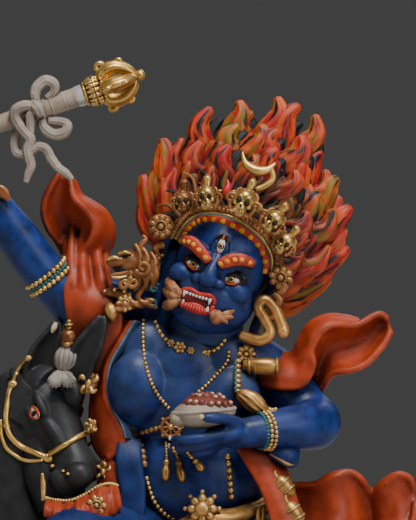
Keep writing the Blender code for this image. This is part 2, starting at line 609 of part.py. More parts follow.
def add_scarves(clay):
    """Broad ribbons with rolled hems that billow from both shoulders and fly out behind the hips."""
    fold = [(-26.2, -1, 97), (-25.2, -3, 91.8), (-22.3, -3.5, 88.7), (-20.2, -3, 85), (-21.2, -2, 81),
            (-24.5, 0.5, 76.5), (-25.5, 3.5, 67), (-22, 4, 58)]
    clay.cloth(
        [(-29, 1, 98), (-32.1, 0, 92.3), (-32.8, 0.5, 88), (-31.6, 2, 84), (-29.3, 4, 80.5), (-27.4, 6, 76),
         (-26.8, 8, 67), (-25.5, 8, 58)],
        fold, hollow=0.42, along=20,
    )
    clay.cloth(
        [(-25.6, 0, 96.4), (-23.8, -0.5, 92.3), (-20.6, 0.5, 90.3), (-17.7, 1, 88), (-16, 2, 84.4),
         (-16.2, 3, 80.4), (-18.2, 4, 76.5), (-17.2, 5, 68), (-14, 5, 58)],
        fold, hollow=-0.2, along=20,
    )
    clay.cloth(
        [(-24, 8, 66), (-30, 9, 60), (-32, 9, 50), (-37, 10, 40), (-36, 10, 28)],
        [(-14, 9, 58), (-20, 10, 52), (-24, 11, 42), (-26, 12, 32), (-30, 12, 20)],
        hollow=0.2, ripples=1.5, ripple=1, along=12,
    )
    clay.cloth(
        [(-27.2, 5, 78), (-27.2, -3.5, 73), (-26.8, -7.2, 67), (-25.6, -8, 61), (-23.4, -8, 55)],
        [(-17.6, 3, 77), (-17, -2, 72), (-15.6, -6, 67), (-14, -7.4, 62), (-14.6, -8, 55)],
        hollow=-0.12, along=14, across=8,
    )
    clay.cloth([(-20, 1, 72), (-13, 0.5, 70.5), (-6, 0.5, 69), (-1, 0.5, 67)],
               [(-17, 0, 58), (-12, 0, 58), (-6, 0, 58), (0, 0, 58)], thickness=3, along=8)
    clay.cloth(
        [(19.8, 2, 53), (25, 0, 53), (28.5, -1, 53.6), (30.3, -2, 57), (32.7, -2, 60.7), (36.6, -1.5, 62.6),
         (41.2, -0.5, 62.4), (45, 0, 61.4)],
        [(19.8, -4, 46.5), (25, -6, 45.5), (30.5, -6, 46), (33.2, -6, 50.7), (32.9, -5.5, 54.6),
         (35.4, -5, 59), (38.8, -4, 60.6), (43.9, -2.5, 60.3)],
        hollow=-0.2, along=18,
    )
    clay.cloth(
        [(33.2, -5.8, 50.7), (32.9, -5.5, 54.6), (35.4, -5, 59.2), (38.8, -4, 60.7), (44, -2.5, 60.6),
         (49.3, -1, 63.2), (52, -0.5, 61.8)],
        [(34.4, 2, 42.6), (36.2, -1, 46), (38.3, -3, 48.8), (42, -4.5, 49.4), (46.3, -4, 51.2),
         (50.5, -2.5, 55.6), (52.6, -1, 59.5)],
        hollow=0.45, along=18,
    )
    clay.cloth(
        [(20, 3, 20), (29, -1, 21.3), (34, -3, 21.7), (38, -4, 23.9), (42, -4, 24.6), (45, -3, 23),
         (47.6, 0, 19.4), (50.5, -2, 22), (54, -3, 24), (57, -2, 23), (58, 0, 20)],
        [(21, -3, 6), (30, -7, 5), (35, -9, 4), (40, -9.5, 6), (44, -8, 5), (47, -5, 3), (49.5, -2, 1),
         (52, -4, 2), (55, -6, 7), (57.6, -4, 12), (58.6, -2, 17)],
        hollow=0.16, ripples=2.5, ripple=1.2, along=26,
    )
    clay.cloth(
        [(14, -13, 33), (17, -14.5, 28), (21, -16, 21), (23.5, -18, 13), (24, -21, 2), (22, -26, -10)],
        [(22, -9, 33), (25, -11, 28), (28, -14, 20), (30, -18, 12), (31, -22, 2), (29, -28, -12)],
        hollow=-0.15, along=14,
    )
    clay.cloth(
        [(-10.6, -6.5, 62), (-14, -7.5, 56.2), (-16.6, -7.5, 51.4), (-17.4, -7.5, 46.3), (-16.7, -8, 41.5),
         (-13.7, -9.5, 36.1), (-13, -10, 33.3), (-14.3, -9.5, 29.9), (-17.1, -8.5, 28.1)],
        [(-14, -3, 62), (-17.1, -3, 55.6), (-19.2, -3, 50.4), (-20.5, -3, 42.9), (-20.8, -4, 36.1),
         (-19.7, -5.5, 31), (-17.6, -7, 28.1)],
        hollow=-0.1, along=16,
    )
    clay.cloth(
        [(-16.6, -8, 27.4), (-14, -10, 25.6), (-12.8, -11.5, 22), (-12.2, -12, 17.6), (-12.5, -12, 9)],
        [(-18, -7, 27.4), (-18.6, -8, 24), (-18.4, -9.5, 20), (-17.5, -11, 16), (-17.5, -11.5, 8)],
        hollow=-0.15, along=12,
    )


def add_ear_ornaments(clay):
    """A small lion hangs at her right ear and a snake at her left."""
    clay.ball((-10.6, -7.5, 73.4), (3.6, 3.2, 4.2))
    clay.swept([(-11, -8.5, 75.4, 2), (-14.4, -9, 76.4, 1.7), (-16.6, -9, 75.6, 0.9)], along=6)
    clay.swept([(-10.6, -8.5, 71.4, 1.8), (-13.4, -9, 70.6, 1.5), (-15.8, -9, 71.4, 0.9)], along=6)
    clay.swept([(-9.4, -7, 76.5, 1.4), (-7.4, -7, 79, 1.7), (-7, -7, 81.6, 1)], along=6)
    clay.swept([(-4.6, -6, 78, 1.4), (-5, -6.5, 73, 2), (-8, -7, 69.4, 2.1), (-9.4, -7, 66.5, 1.7),
                (-8, -6, 64.5, 1.2)], along=9)
    clay.swept([(-17, -5, 68.6, 1.9), (-12, -7, 68, 2.4), (-9, -7, 66.8, 1.9)], along=6)
    clay.swept([(15.5, -9, 58.5, 1.4), (20, -11, 56.4, 1.5), (24, -10, 58, 1.6), (22.6, -9, 62.5, 1.6),
                (21.8, -8, 66, 1.6), (24.5, -8, 66.8, 1.7), (26, -9, 62, 1.7),
                (27.4, -9, 58.6, 1.3)], along=18, around=8)
    clay.swept([(18.5, -9, 52.5, 2.6), (23, -9.5, 49.5, 2.6), (29, -9, 49, 2.1)], along=7)
    clay.swept([(18, -14, 41.5, 1.4), (21.5, -14, 39, 3, 2.2), (25, -14, 36.5, 1.8)], along=7)


def make_rider(home, cutters, mule):
    """The rider as one casting, hollowed where she sits on the mule and where the club passes."""
    clay = Clay(SEAT, RIDER_STEP)
    add_torso(clay)
    head = rider_head_frame()
    add_face(clay, head)
    add_crown(clay, head)
    add_hair(clay)
    add_arms(clay)
    add_legs(clay)
    add_scarves(clay)
    add_ear_ornaments(clay)
    rider = clay.cast("rider", home, paint("painted skin", BLUE), VOXEL, RIDER_TRIANGLES,
                      finer=[(SEAT.z + height * RIDER_STEP, depth * RIDER_STEP) for height, depth in FINE])
    seat = bpy.data.objects.new("mule hollow", settled(mule))
    cutters.objects.link(seat)
    grow = seat.modifiers.new("clearance", "DISPLACE")
    grow.strength = 1.5 * GAP
    grow.mid_level = 0
    cut(rider, seat)
    bore = bpy.data.meshes.new("club bore")
    rod = bmesh.new()
    bmesh.ops.create_cone(
        rod, cap_ends=True, segments=24, radius1=CLUB_RADIUS + 2 * GAP, radius2=CLUB_RADIUS + 2 * GAP,
        depth=2 * CLUB_TAIL, matrix=club_place() @ Matrix.Rotation(math.pi / 2, 4, "Y"),
    )
    rod.to_mesh(bore)
    rod.free()
    hole = bpy.data.objects.new("club bore", bore)
    cutters.objects.link(hole)
    cut(rider, hole)
    return rider


def club_place():
    """The club's own axes: +X along the shaft from the fist to the tip."""
    return (
        Matrix.Translation(SEAT + FIST * RIDER_STEP)
        @ Matrix.Rotation(-CLUB_RISE, 4, "Y")
    )


def make_club(home):
    """The club: tapered shaft, collars, half thunderbolt of four prongs and a knotted ribbon."""
    clay = Clay((0, 0, 0), CLUB_STEP)
    clay.grid = club_place() @ clay.grid
    reach = CLUB_STEPS
    tail = CLUB_TAIL / CLUB_STEP
    shaft = CLUB_RADIUS / CLUB_STEP
    collar = reach - CLUB_HEAD / CLUB_STEP
    clay.swept([(-tail, 0, 0, shaft * 0.9), (-tail / 2, 0, 0, shaft), (0, 0, 0, shaft),
                (collar / 3, 0, 0, shaft), (collar * 0.66, 0, 0, shaft * 1.08),
                (collar + 1, 0, 0, shaft * 1.16)], facing=(0, 0, 1),
                around=18, along=20)
    clay.ball((-tail, 0, 0), (shaft * 1.2, shaft * 1.35, shaft * 1.35))
    for at, size in ((0.4, 1.36), (2.2, 1.5), (4.4, 1.35)):
        clay.ball((collar + at, 0, 0), (1.3, shaft * size, shaft * size), around=16)
    clay.ball((collar + 3, 0, 0), (2.2, shaft * 1.6, shaft * 1.6), around=16)
    for quarter in range(4):
        spin = Matrix.Rotation(quarter * math.pi / 2, 4, "X")
        clay.swept([(collar + 4, 0, 1.2, 1.2), (collar + 6.2, 0, 3.6, 1.35), (collar + 9.2, 0, 3.9, 1.3),
                    (collar + 12, 0, 2.3, 1.1), (reach - 1.2, 0, 0.4, 0.9)], frame=spin, facing=(0, 1, 0),
                    along=9, around=8)
        clay.ball((collar + 4.6, 0, 4.4), (1.0, 0.7, 1.0), frame=spin, around=8)
    clay.swept([(collar + 4, 0, 0, 1.2), (reach - 2, 0, 0, 0.9)], facing=(0, 0, 1), along=6, around=8)
    clay.ball((reach, 0, 0), 1.35, around=12)
    knot = collar * 0.61
    clay.ball((knot, 0, 0), (1.8, shaft * 1.32, shaft * 1.32), around=16)
    ribbons = (
        [(19.2, -1.5, 1.6, 1.1), (19.6, -1.5, 3.6, 1.2), (20.9, -1.4, 5.4, 1.3), (23.2, -1.4, 6.2, 1.3),
         (24.8, -1.4, 4.8, 1.25), (24.2, -1.2, 3.0, 1.1), (22.0, -1, 2, 0.9)],
        [(19.0, -1.4, -2.4, 1.1), (19.2, -1.4, -4.8, 1.2), (20.9, -1.4, -6.9, 1.3), (23.4, -1.4, -7.2, 1.3),
         (24.6, -1.2, -5.8, 1.2), (23.2, -1, -4.4, 1.1), (20.6, -1, -3.2, 0.9)],
        [(19.0, -2.6, 0.7, 1.2), (16.6, -3, 1.9, 1.3), (14.2, -3, 1.7, 1.3), (13.3, -2.6, 0, 1.3),
         (14.0, -2.4, -3.2, 1.3), (15.0, -2.2, -6.0, 1.3), (13.7, -2, -8.2, 1.25), (13.3, -2, -10.4, 1.2),
         (13.0, -2, -12.4, 1.1), (11.6, -2, -14.2, 0.9), (10.5, -2, -15.8, 0.6)],
        [(14.0, -2, -9.1, 1.0), (16.0, -2, -8.4, 1.1), (17.8, -2, -9.6, 1.1), (18.3, -2, -12.2, 1.1),
         (19.2, -2, -14.8, 1.0), (20.5, -2, -16.8, 0.95), (21.5, -2, -18.8, 0.6)],
        [(14.2, -1.4, -2.6, 0.9), (11.9, -0.8, -4.1, 1.1), (10.8, -0.6, -6.2, 1.1), (10.9, -0.8, -8.2, 1.1),
         (13.0, -1.4, -9.4, 0.9)],
        [(18.9, -2.6, -0.5, 0.9), (17.2, -2.8, -0.3, 1.1), (16.4, -2.6, -2.2, 1.1), (15.4, -2.3, -5, 0.9)],
    )
    for ribbon in ribbons:
        clay.swept(ribbon, along=18, around=8)
    return clay.cast("club", home, paint("pale ribbon", WHITE), CLUB_VOXEL, CLUB_TRIANGLES, softening=1)


def main():
    statue, cutters = new_scene()
    make_base(statue)
    mule = make_mule(statue, cutters)
    make_club(statue)
    make_rider(statue, cutters, mule)
    bpy.context.view_layer.update()


main()
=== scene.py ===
# %% [markdown]
# # A wrathful goddess on her mule
# This lesson dresses the four solid castings of a small painted statue: its lotus base, the mule, the rider
# and her club. The solids set every place and size. On top of them we carve finer meshes for what the
# painter saw: skin, hair of flame, gold work, scarves and the mule's tack.

# %% Load the castings
import json
import math

import bpy
from mathutils import Euler, Matrix, Vector
from mathutils.bvhtree import BVHTree

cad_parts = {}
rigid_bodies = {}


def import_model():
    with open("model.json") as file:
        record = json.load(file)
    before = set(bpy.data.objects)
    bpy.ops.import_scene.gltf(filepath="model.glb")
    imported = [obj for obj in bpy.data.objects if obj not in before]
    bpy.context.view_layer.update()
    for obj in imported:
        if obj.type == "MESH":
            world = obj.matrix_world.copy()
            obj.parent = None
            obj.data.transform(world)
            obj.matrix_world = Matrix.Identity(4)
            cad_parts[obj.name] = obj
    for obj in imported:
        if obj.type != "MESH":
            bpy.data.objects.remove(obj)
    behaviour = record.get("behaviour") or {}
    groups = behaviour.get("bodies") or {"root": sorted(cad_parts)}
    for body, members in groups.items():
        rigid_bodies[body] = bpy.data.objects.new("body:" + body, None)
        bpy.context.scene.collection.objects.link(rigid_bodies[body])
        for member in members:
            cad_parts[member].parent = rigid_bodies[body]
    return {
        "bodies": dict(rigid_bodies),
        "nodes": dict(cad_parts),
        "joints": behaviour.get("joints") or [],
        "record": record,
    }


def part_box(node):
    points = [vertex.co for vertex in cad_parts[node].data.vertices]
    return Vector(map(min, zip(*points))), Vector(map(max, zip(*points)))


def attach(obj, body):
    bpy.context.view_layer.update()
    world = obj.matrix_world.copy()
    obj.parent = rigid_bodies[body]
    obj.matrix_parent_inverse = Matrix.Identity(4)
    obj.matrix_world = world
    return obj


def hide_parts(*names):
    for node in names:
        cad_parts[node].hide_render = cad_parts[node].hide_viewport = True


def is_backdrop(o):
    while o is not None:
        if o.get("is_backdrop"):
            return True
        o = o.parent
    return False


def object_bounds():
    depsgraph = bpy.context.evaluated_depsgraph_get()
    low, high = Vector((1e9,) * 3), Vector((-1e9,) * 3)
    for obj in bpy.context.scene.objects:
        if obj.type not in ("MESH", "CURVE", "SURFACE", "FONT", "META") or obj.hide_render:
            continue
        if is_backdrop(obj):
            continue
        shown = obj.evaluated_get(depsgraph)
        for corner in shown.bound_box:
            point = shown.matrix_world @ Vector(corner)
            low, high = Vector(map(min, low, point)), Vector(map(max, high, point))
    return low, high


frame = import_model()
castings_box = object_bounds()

print("castings reach", [[round(value * 1000, 1) for value in corner] for corner in castings_box])

# %% [markdown]
# The figures were laid out in millimetre steps, one grid for the mule with its zero on the top of the base,
# and one for the rider with its zero on the mule's back. We find both zeros from the castings.

# %% The two grids
MM = 0.001
GAP = 0.3
BACK_HEIGHT = 60  # the mule's back above its hooves
base_low, base_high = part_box("base")
GROUND = Vector((0, 0, base_high[2] + GAP * MM))
SEAT = GROUND + Vector((0, 0, BACK_HEIGHT * MM))
print("ground at", round(GROUND.z / MM, 1), "mm and seat at", round(SEAT.z / MM, 1), "mm")

# %% [markdown]
# The photograph was taken level, straight from the front, and shows the upper part of the statue. A long
# lens keeps the raised arm and the scarves in proportion, so we stand well back and frame the same part.

# %% Camera
PIXEL = 0.2435 * MM  # what one picture element covers at the figure
FRAME_HIGH = 520
DISTANCE = 0.9
LOOK_AT = Vector((7.6 * MM, -8 * MM, 150.8 * MM))
SENSOR = 36
camera = bpy.data.objects.new("camera", bpy.data.cameras.new("camera"))
camera.location = LOOK_AT - Vector((0, DISTANCE, 0))
camera.rotation_euler = (math.radians(90), 0, 0)
camera.data.sensor_width = SENSOR
camera.data.lens = SENSOR * DISTANCE / (FRAME_HIGH * PIXEL)
bpy.context.scene.collection.objects.link(camera)
bpy.context.scene.camera = camera
print("lens", round(camera.data.lens, 1), "mm")

# %% [markdown]
# Painted resin shows its carving when one large soft light comes from high in front, with a weaker one on
# each side. The surroundings are a dark grey, so the colours stay deep and the gold keeps its contrast.

# %% Lights, floor and surroundings


def soft_light(name, place, size, power):
    """A square soft light that points at the middle of the statue."""
    light = bpy.data.objects.new(name, bpy.data.lights.new(name, "AREA"))
    light.data.size = size
    light.data.energy = power
    light.location = place
    aim = Vector((0, 0, 0.12)) - Vector(place)
    light.rotation_euler = aim.to_track_quat("-Z", "Y").to_euler()
    bpy.context.scene.collection.objects.link(light)
    return light


soft_light("key", (0.14, -0.42, 0.95), 0.36, 9.0)
soft_light("left", (-0.70, -0.60, 0.35), 0.5, 0.7)
soft_light("right", (0.60, -0.60, 0.40), 0.4, 2.4)
soft_light("rim", (0.20, 0.65, 0.70), 0.4, 1.2)
surroundings = bpy.data.worlds.new("studio grey")
surroundings.use_nodes = True
surroundings.node_tree.nodes["Background"].inputs["Color"].default_value = (0.056, 0.058, 0.056, 1)
bpy.context.scene.world = surroundings
FLOOR_SIDE = 1.2
bpy.ops.mesh.primitive_plane_add(size=FLOOR_SIDE)
floor = bpy.context.object
floor.name = "floor"
floor_paint = bpy.data.materials.new("pale floor")
floor_paint.use_nodes = True
floor_paint.node_tree.nodes["Principled BSDF"].inputs["Base Color"].default_value = (0.6, 0.59, 0.57, 1)
floor_paint.node_tree.nodes["Principled BSDF"].inputs["Roughness"].default_value = 0.8
floor.data.materials.append(floor_paint)
floor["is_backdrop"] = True

# %% [markdown]
# Every finish here is cold paint over resin: a base coat, a dark wash with painted shade in the hollows, and
# a pale rub with a painted highlight on the raised edges. One recipe of nodes makes them all. The hollows
# come from ambient occlusion, grooves and edges from the mesh's pointiness, and noise breaks them up as a
# brush would. The flames get strokes of other colours too, drawn along each lock, and a dark root. Skin gets
# a pale painted sheen on the surfaces that face up.

# %% Recipe for a hand-painted finish
GLOSS = 0.32  # of cold paint, lower than of bare resin
GRAIN_DEPTH = 0.12
GRAIN_SCALE = 1500.0
HAIR_AT = Vector((15.2, 4, 83.5))  # the middle of the fan of flames, on the rider's grid


def hand_painted(name, coat, wash_and_shade, rub_and_highlight, roughness=0.5, metallic=0.0, wash_and_shade_amount=0.9, rub_and_highlight_amount=0.3,
                 hollow=1.6, mottle=0.35, mottle_scale=260, grain=0.12,
                 painted_sheen=None, sheen_at=None, strokes=(), root=None):
    """Coat with dark wash and painted shade in hollows, pale rub and painted highlight on edges, and grain.
    """
    material = bpy.data.materials.new(name)
    material.use_nodes = True
    tree = material.node_tree
    shader = tree.nodes["Principled BSDF"]
    shader.inputs["Metallic"].default_value = metallic
    shader.inputs["Specular IOR Level"].default_value = GLOSS

    def add(kind, *inputs, output=0, **settings):
        node = tree.nodes.new(kind)
        for key, value in settings.items():
            setattr(node, key, value)
        for socket, value in zip(node.inputs, inputs):
            if isinstance(value, bpy.types.NodeSocket):
                tree.links.new(value, socket)
            elif value is not None:
                socket.default_value = value
        return node.outputs[output]

    def noise(where, scale, detail):
        return add("ShaderNodeTexNoise", where, None, scale, detail)

    def ramp(value, low, high, to_low=0.0, to_high=1.0):
        return add("ShaderNodeMapRange", value, low, high, to_low, to_high)

    def math_of(operation, *values):
        return add("ShaderNodeMath", *values, operation=operation)

    def blend(amount, one, two):
        node = tree.nodes.new("ShaderNodeMix")
        node.data_type = "RGBA"
        for socket, value in zip((node.inputs[0], node.inputs[6], node.inputs[7]), (amount, one, two)):
            if isinstance(value, tuple):
                socket.default_value = (*value, 1)
            else:
                tree.links.new(value, socket)
        return node.outputs[2]

    place = add("ShaderNodeTexCoord", output=3)
    clouds = noise(place, mottle_scale, 4.0)
    patches = noise(place, mottle_scale * 0.35, 3.0)
    darker = tuple(c * (1 - mottle) for c in coat)
    lighter = tuple(min(1, c * (1 + mottle) + 0.012 * mottle) for c in coat)
    colour = blend(ramp(clouds, 0.3, 0.7), darker, lighter)
    shape = tree.nodes.new("ShaderNodeNewGeometry")
    if strokes:
        drawn = tree.nodes.new("ShaderNodeAttribute")
        drawn.attribute_name = "stroke"
        for number, (stroke, low, high) in enumerate(strokes):
            apart = add("ShaderNodeVectorMath", drawn.outputs["Vector"], (1.7, 1.7, 2.6),
                        (11.0 * number, 0, 0), operation="MULTIPLY_ADD")
            colour = blend(ramp(noise(apart, 1.0, 3.0), low, high), colour, stroke)
    if root:
        far = add("ShaderNodeVectorMath", place, SEAT + HAIR_AT * MM, output=1, operation="DISTANCE")
        reach = math_of("ADD", far, ramp(patches, 0.3, 0.7, -0.004, 0.004))
        colour = blend(ramp(reach, 0.011, 0.024, 0.95, 0.0), colour, root)
    # Painted sheen: paler where the surface faces up, as light from above falls, fading away from a given
    # point.
    if painted_sheen:
        facing = tree.nodes.new("ShaderNodeSeparateXYZ")
        tree.links.new(shape.outputs["Normal"], facing.inputs[0])
        sheen_amount = math_of("MULTIPLY", ramp(facing.outputs["Z"], -0.35, 0.8, 0.05, 0.8),
                          ramp(patches, 0.3, 0.65, 0.4, 1.0))
        if sheen_at:
            far = add("ShaderNodeVectorMath", place, sheen_at * MM, output=1, operation="DISTANCE")
            sheen_amount = math_of("MULTIPLY", sheen_amount, ramp(far, 0.010, 0.028, 1.0, 0.05))
        colour = blend(sheen_amount, colour, painted_sheen)
    # Dark wash and painted shade: darker in hollows found by ambient occlusion and grooves found by
    # pointiness.
    depth = tree.nodes.new("ShaderNodeAmbientOcclusion")
    depth.samples = 6
    depth.inputs["Distance"].default_value = hollow * MM
    in_hollow = ramp(depth.outputs["AO"], 0.9, 0.35, 0.0, wash_and_shade_amount)
    in_groove = ramp(shape.outputs["Pointiness"], 0.486, 0.43, 0.0, wash_and_shade_amount)
    washed = math_of("MULTIPLY", math_of("MAXIMUM", in_hollow, in_groove),
                     ramp(patches, 0.25, 0.6, 0.7, 1.0))
    colour = blend(washed, colour, wash_and_shade)
    # Rubbed wear and painted highlight: paler on raised edges, where pointiness is high.
    on_edge = math_of("MULTIPLY", ramp(shape.outputs["Pointiness"], 0.515, 0.60, 0.0, rub_and_highlight_amount),
                      ramp(clouds, 0.35, 0.6, 0.3, 1.0))
    colour = blend(on_edge, colour, rub_and_highlight)
    tree.links.new(colour, shader.inputs["Base Color"])
    tree.links.new(ramp(clouds, 0.2, 0.8, roughness - 0.1, roughness + 0.12), shader.inputs["Roughness"])
    bump = tree.nodes.new("ShaderNodeBump")
    bump.inputs["Strength"].default_value = grain
    bump.inputs["Distance"].default_value = GRAIN_DEPTH * MM
    tree.links.new(noise(place, GRAIN_SCALE, 3.0), bump.inputs["Height"])
    tree.links.new(bump.outputs["Normal"], shader.inputs["Normal"])
    return material


# %% [markdown]
# The paints: a deep blue for the skin, with a grey painted sheen on top, a stronger blue for the jacket,
# terracotta red for cloth, three mixed flame colours, several golds from bright to coppery, and small amounts
# of white, black, cream and turquoise.

# %% The paint box
# The near-black of the dark wash and painted shade in hollows and grooves.
WASH_AND_SHADE_BLACK = (0.004, 0.004, 0.006)
FLAME_ORANGE = (0.62, 0.080, 0.010)
CRIMSON = (0.42, 0.012, 0.010)
OLIVE = (0.22, 0.13, 0.008)
SMOKE = (0.004, 0.007, 0.010)
CHEST = Vector((4, -12, 128))  # in millimetres from the foot of the statue
# The skin's grey-blue painted sheen lies on its upward faces near the chest.
blue_skin = hand_painted("blue skin", (0.005, 0.024, 0.135), (0.001, 0.002, 0.010), (0.05, 0.10, 0.26),
                         0.40, mottle=0.5, hollow=4, grain=0.35, painted_sheen=(0.075, 0.105, 0.175), sheen_at=CHEST)
red_cloth = hand_painted("terracotta cloth", (0.36, 0.042, 0.010), (0.018, 0.003, 0.002),
                         (0.60, 0.17, 0.07), 0.45, hollow=6, mottle=0.3)
orange_flame = hand_painted("orange flame", FLAME_ORANGE, WASH_AND_SHADE_BLACK, (0.80, 0.28, 0.09), 0.5, hollow=1.3,
                            root=SMOKE, strokes=((CRIMSON, 0.48, 0.58), (OLIVE, 0.56, 0.64),
                                                 (SMOKE, 0.55, 0.63)))
crimson_flame = hand_painted("crimson flame", CRIMSON, WASH_AND_SHADE_BLACK, (0.62, 0.12, 0.06), 0.5, hollow=1.3,
                             root=SMOKE, strokes=((FLAME_ORANGE, 0.48, 0.58), (SMOKE, 0.53, 0.62)))
olive_flame = hand_painted("olive flame", (0.30, 0.11, 0.012), WASH_AND_SHADE_BLACK, (0.60, 0.32, 0.05), 0.5, hollow=1.3,
                           root=SMOKE, strokes=((FLAME_ORANGE, 0.46, 0.56), (OLIVE, 0.50, 0.60),
                                                (SMOKE, 0.50, 0.60)))
dark_flame = hand_painted("smoke between the flames", SMOKE, WASH_AND_SHADE_BLACK, (0.03, 0.04, 0.045), 0.6, hollow=1.5,
                          strokes=((OLIVE, 0.62, 0.70), (CRIMSON, 0.62, 0.72)))
bright_gold = hand_painted("bright gold", (0.70, 0.42, 0.11), (0.07, 0.022, 0.005), (1.0, 0.78, 0.38), 0.33,
                           metallic=0.8, hollow=0.8, grain=0.15)
old_gold = hand_painted("old gold", (0.52, 0.27, 0.075), (0.05, 0.014, 0.004), (0.95, 0.66, 0.28), 0.38,
                        metallic=0.75, hollow=1.1, wash_and_shade_amount=0.96, rub_and_highlight_amount=0.6, grain=0.15)
copper_gold = hand_painted("copper gold", (0.21, 0.062, 0.018), (0.022, 0.006, 0.003), (0.85, 0.46, 0.17),
                           0.40, metallic=0.5, hollow=2.8, wash_and_shade_amount=0.97, rub_and_highlight_amount=0.6, mottle=0.5,
                           grain=0.25)
snake_gold = hand_painted("snake gold", (0.58, 0.27, 0.075), (0.06, 0.015, 0.004), (1.0, 0.72, 0.32), 0.35,
                          metallic=0.7, hollow=1.2)
# Ivory, with a dark wash and painted shade in its hollows.
ivory = hand_painted("ivory with wash and painted shade", (0.36, 0.28, 0.21), (0.075, 0.04, 0.022), (0.72, 0.66, 0.58), 0.5,
                     hollow=1.0, mottle=0.25, wash_and_shade_amount=0.92, rub_and_highlight_amount=0.55)
# The mule's coat gets a grey painted sheen where it faces up.
black_coat = hand_painted("black coat", (0.011, 0.011, 0.012), (0.002, 0.002, 0.002), (0.10, 0.10, 0.105),
                          0.48, hollow=2.5, rub_and_highlight_amount=0.45, painted_sheen=(0.040, 0.040, 0.044))
white_enamel = hand_painted("white enamel", (0.72, 0.68, 0.60), (0.30, 0.16, 0.10), (0.9, 0.88, 0.84), 0.3,
                            hollow=0.4, wash_and_shade_amount=0.4, mottle=0.05)
black_enamel = hand_painted("black enamel", (0.004, 0.004, 0.005), WASH_AND_SHADE_BLACK, (0.02, 0.02, 0.02), 0.3, hollow=0.3)
lip_red = hand_painted("lip red", (0.50, 0.012, 0.010), (0.06, 0.002, 0.002), (0.80, 0.24, 0.18), 0.3,
                       hollow=0.7)
brow_red = hand_painted("brow red", (0.46, 0.034, 0.010), (0.07, 0.005, 0.003), (0.75, 0.20, 0.05), 0.45,
                        hollow=0.8, mottle=0.4, mottle_scale=600)
orange_dot = hand_painted("orange dots", (0.82, 0.27, 0.008), (0.35, 0.07, 0.01), (0.95, 0.5, 0.12), 0.4,
                          hollow=0.3)
turquoise = hand_painted("turquoise", (0.012, 0.11, 0.13), (0.004, 0.02, 0.03), (0.12, 0.40, 0.42), 0.35,
                         hollow=0.4)
cream = hand_painted("cream", (0.58, 0.44, 0.26), (0.16, 0.07, 0.03), (0.85, 0.76, 0.58), 0.45, hollow=0.6)
offering_red = hand_painted("offering red", (0.20, 0.045, 0.030), (0.04, 0.008, 0.005), (0.5, 0.22, 0.16),
                            0.35, hollow=0.8)
blue_cloth = hand_painted("blue cloth", (0.004, 0.020, 0.110), (0.003, 0.006, 0.020), (0.10, 0.24, 0.42),
                          0.5, hollow=2)
grey_hem = hand_painted("blue-grey hem", (0.020, 0.045, 0.10), (0.006, 0.014, 0.03), (0.30, 0.36, 0.42),
                        0.55, hollow=0.8, rub_and_highlight_amount=0.8)

# %% [markdown]
# Almost everything is built from three forms: a ball pressed into an ellipsoid, a tube whose width changes
# along a smooth curve, and a ribbon of cloth between two curves. They are gathered in one mesh. Where the
# forms should flow into each other, as muscles do, a voxel remesh fuses them and a smoothing pass softens
# the joins. The voxels leave far more faces than broad forms need, so a decimate pass thins them. Where the
# forms should stay crisp, as beads do, they simply overlap.

# %% Curves and forms


def along_curve(rows, share):
    """The row of numbers at a share, 0 to 1, of a smooth curve through the given rows."""
    last = len(rows) - 1
    place = min(max(share, 0.0), 1.0) * last
    i = min(int(place), last - 1)
    t = place - i
    a, b = rows[max(i - 1, 0)], rows[i]
    c, d = rows[i + 1], rows[min(i + 2, last)]
    return [
        0.5 * (2 * q + (r - p) * t + (2 * p - 5 * q + 4 * r - s) * t * t + (3 * q - p - 3 * r + s) * t**3)
        for p, q, r, s in zip(a, b, c, d)
    ]


def turned(degrees):
    """A turn about X, Y and Z, given in degrees."""
    return Euler([math.radians(angle) for angle in degrees]).to_matrix().to_4x4()


TRIANGLES = {}  # of each finished piece, by name


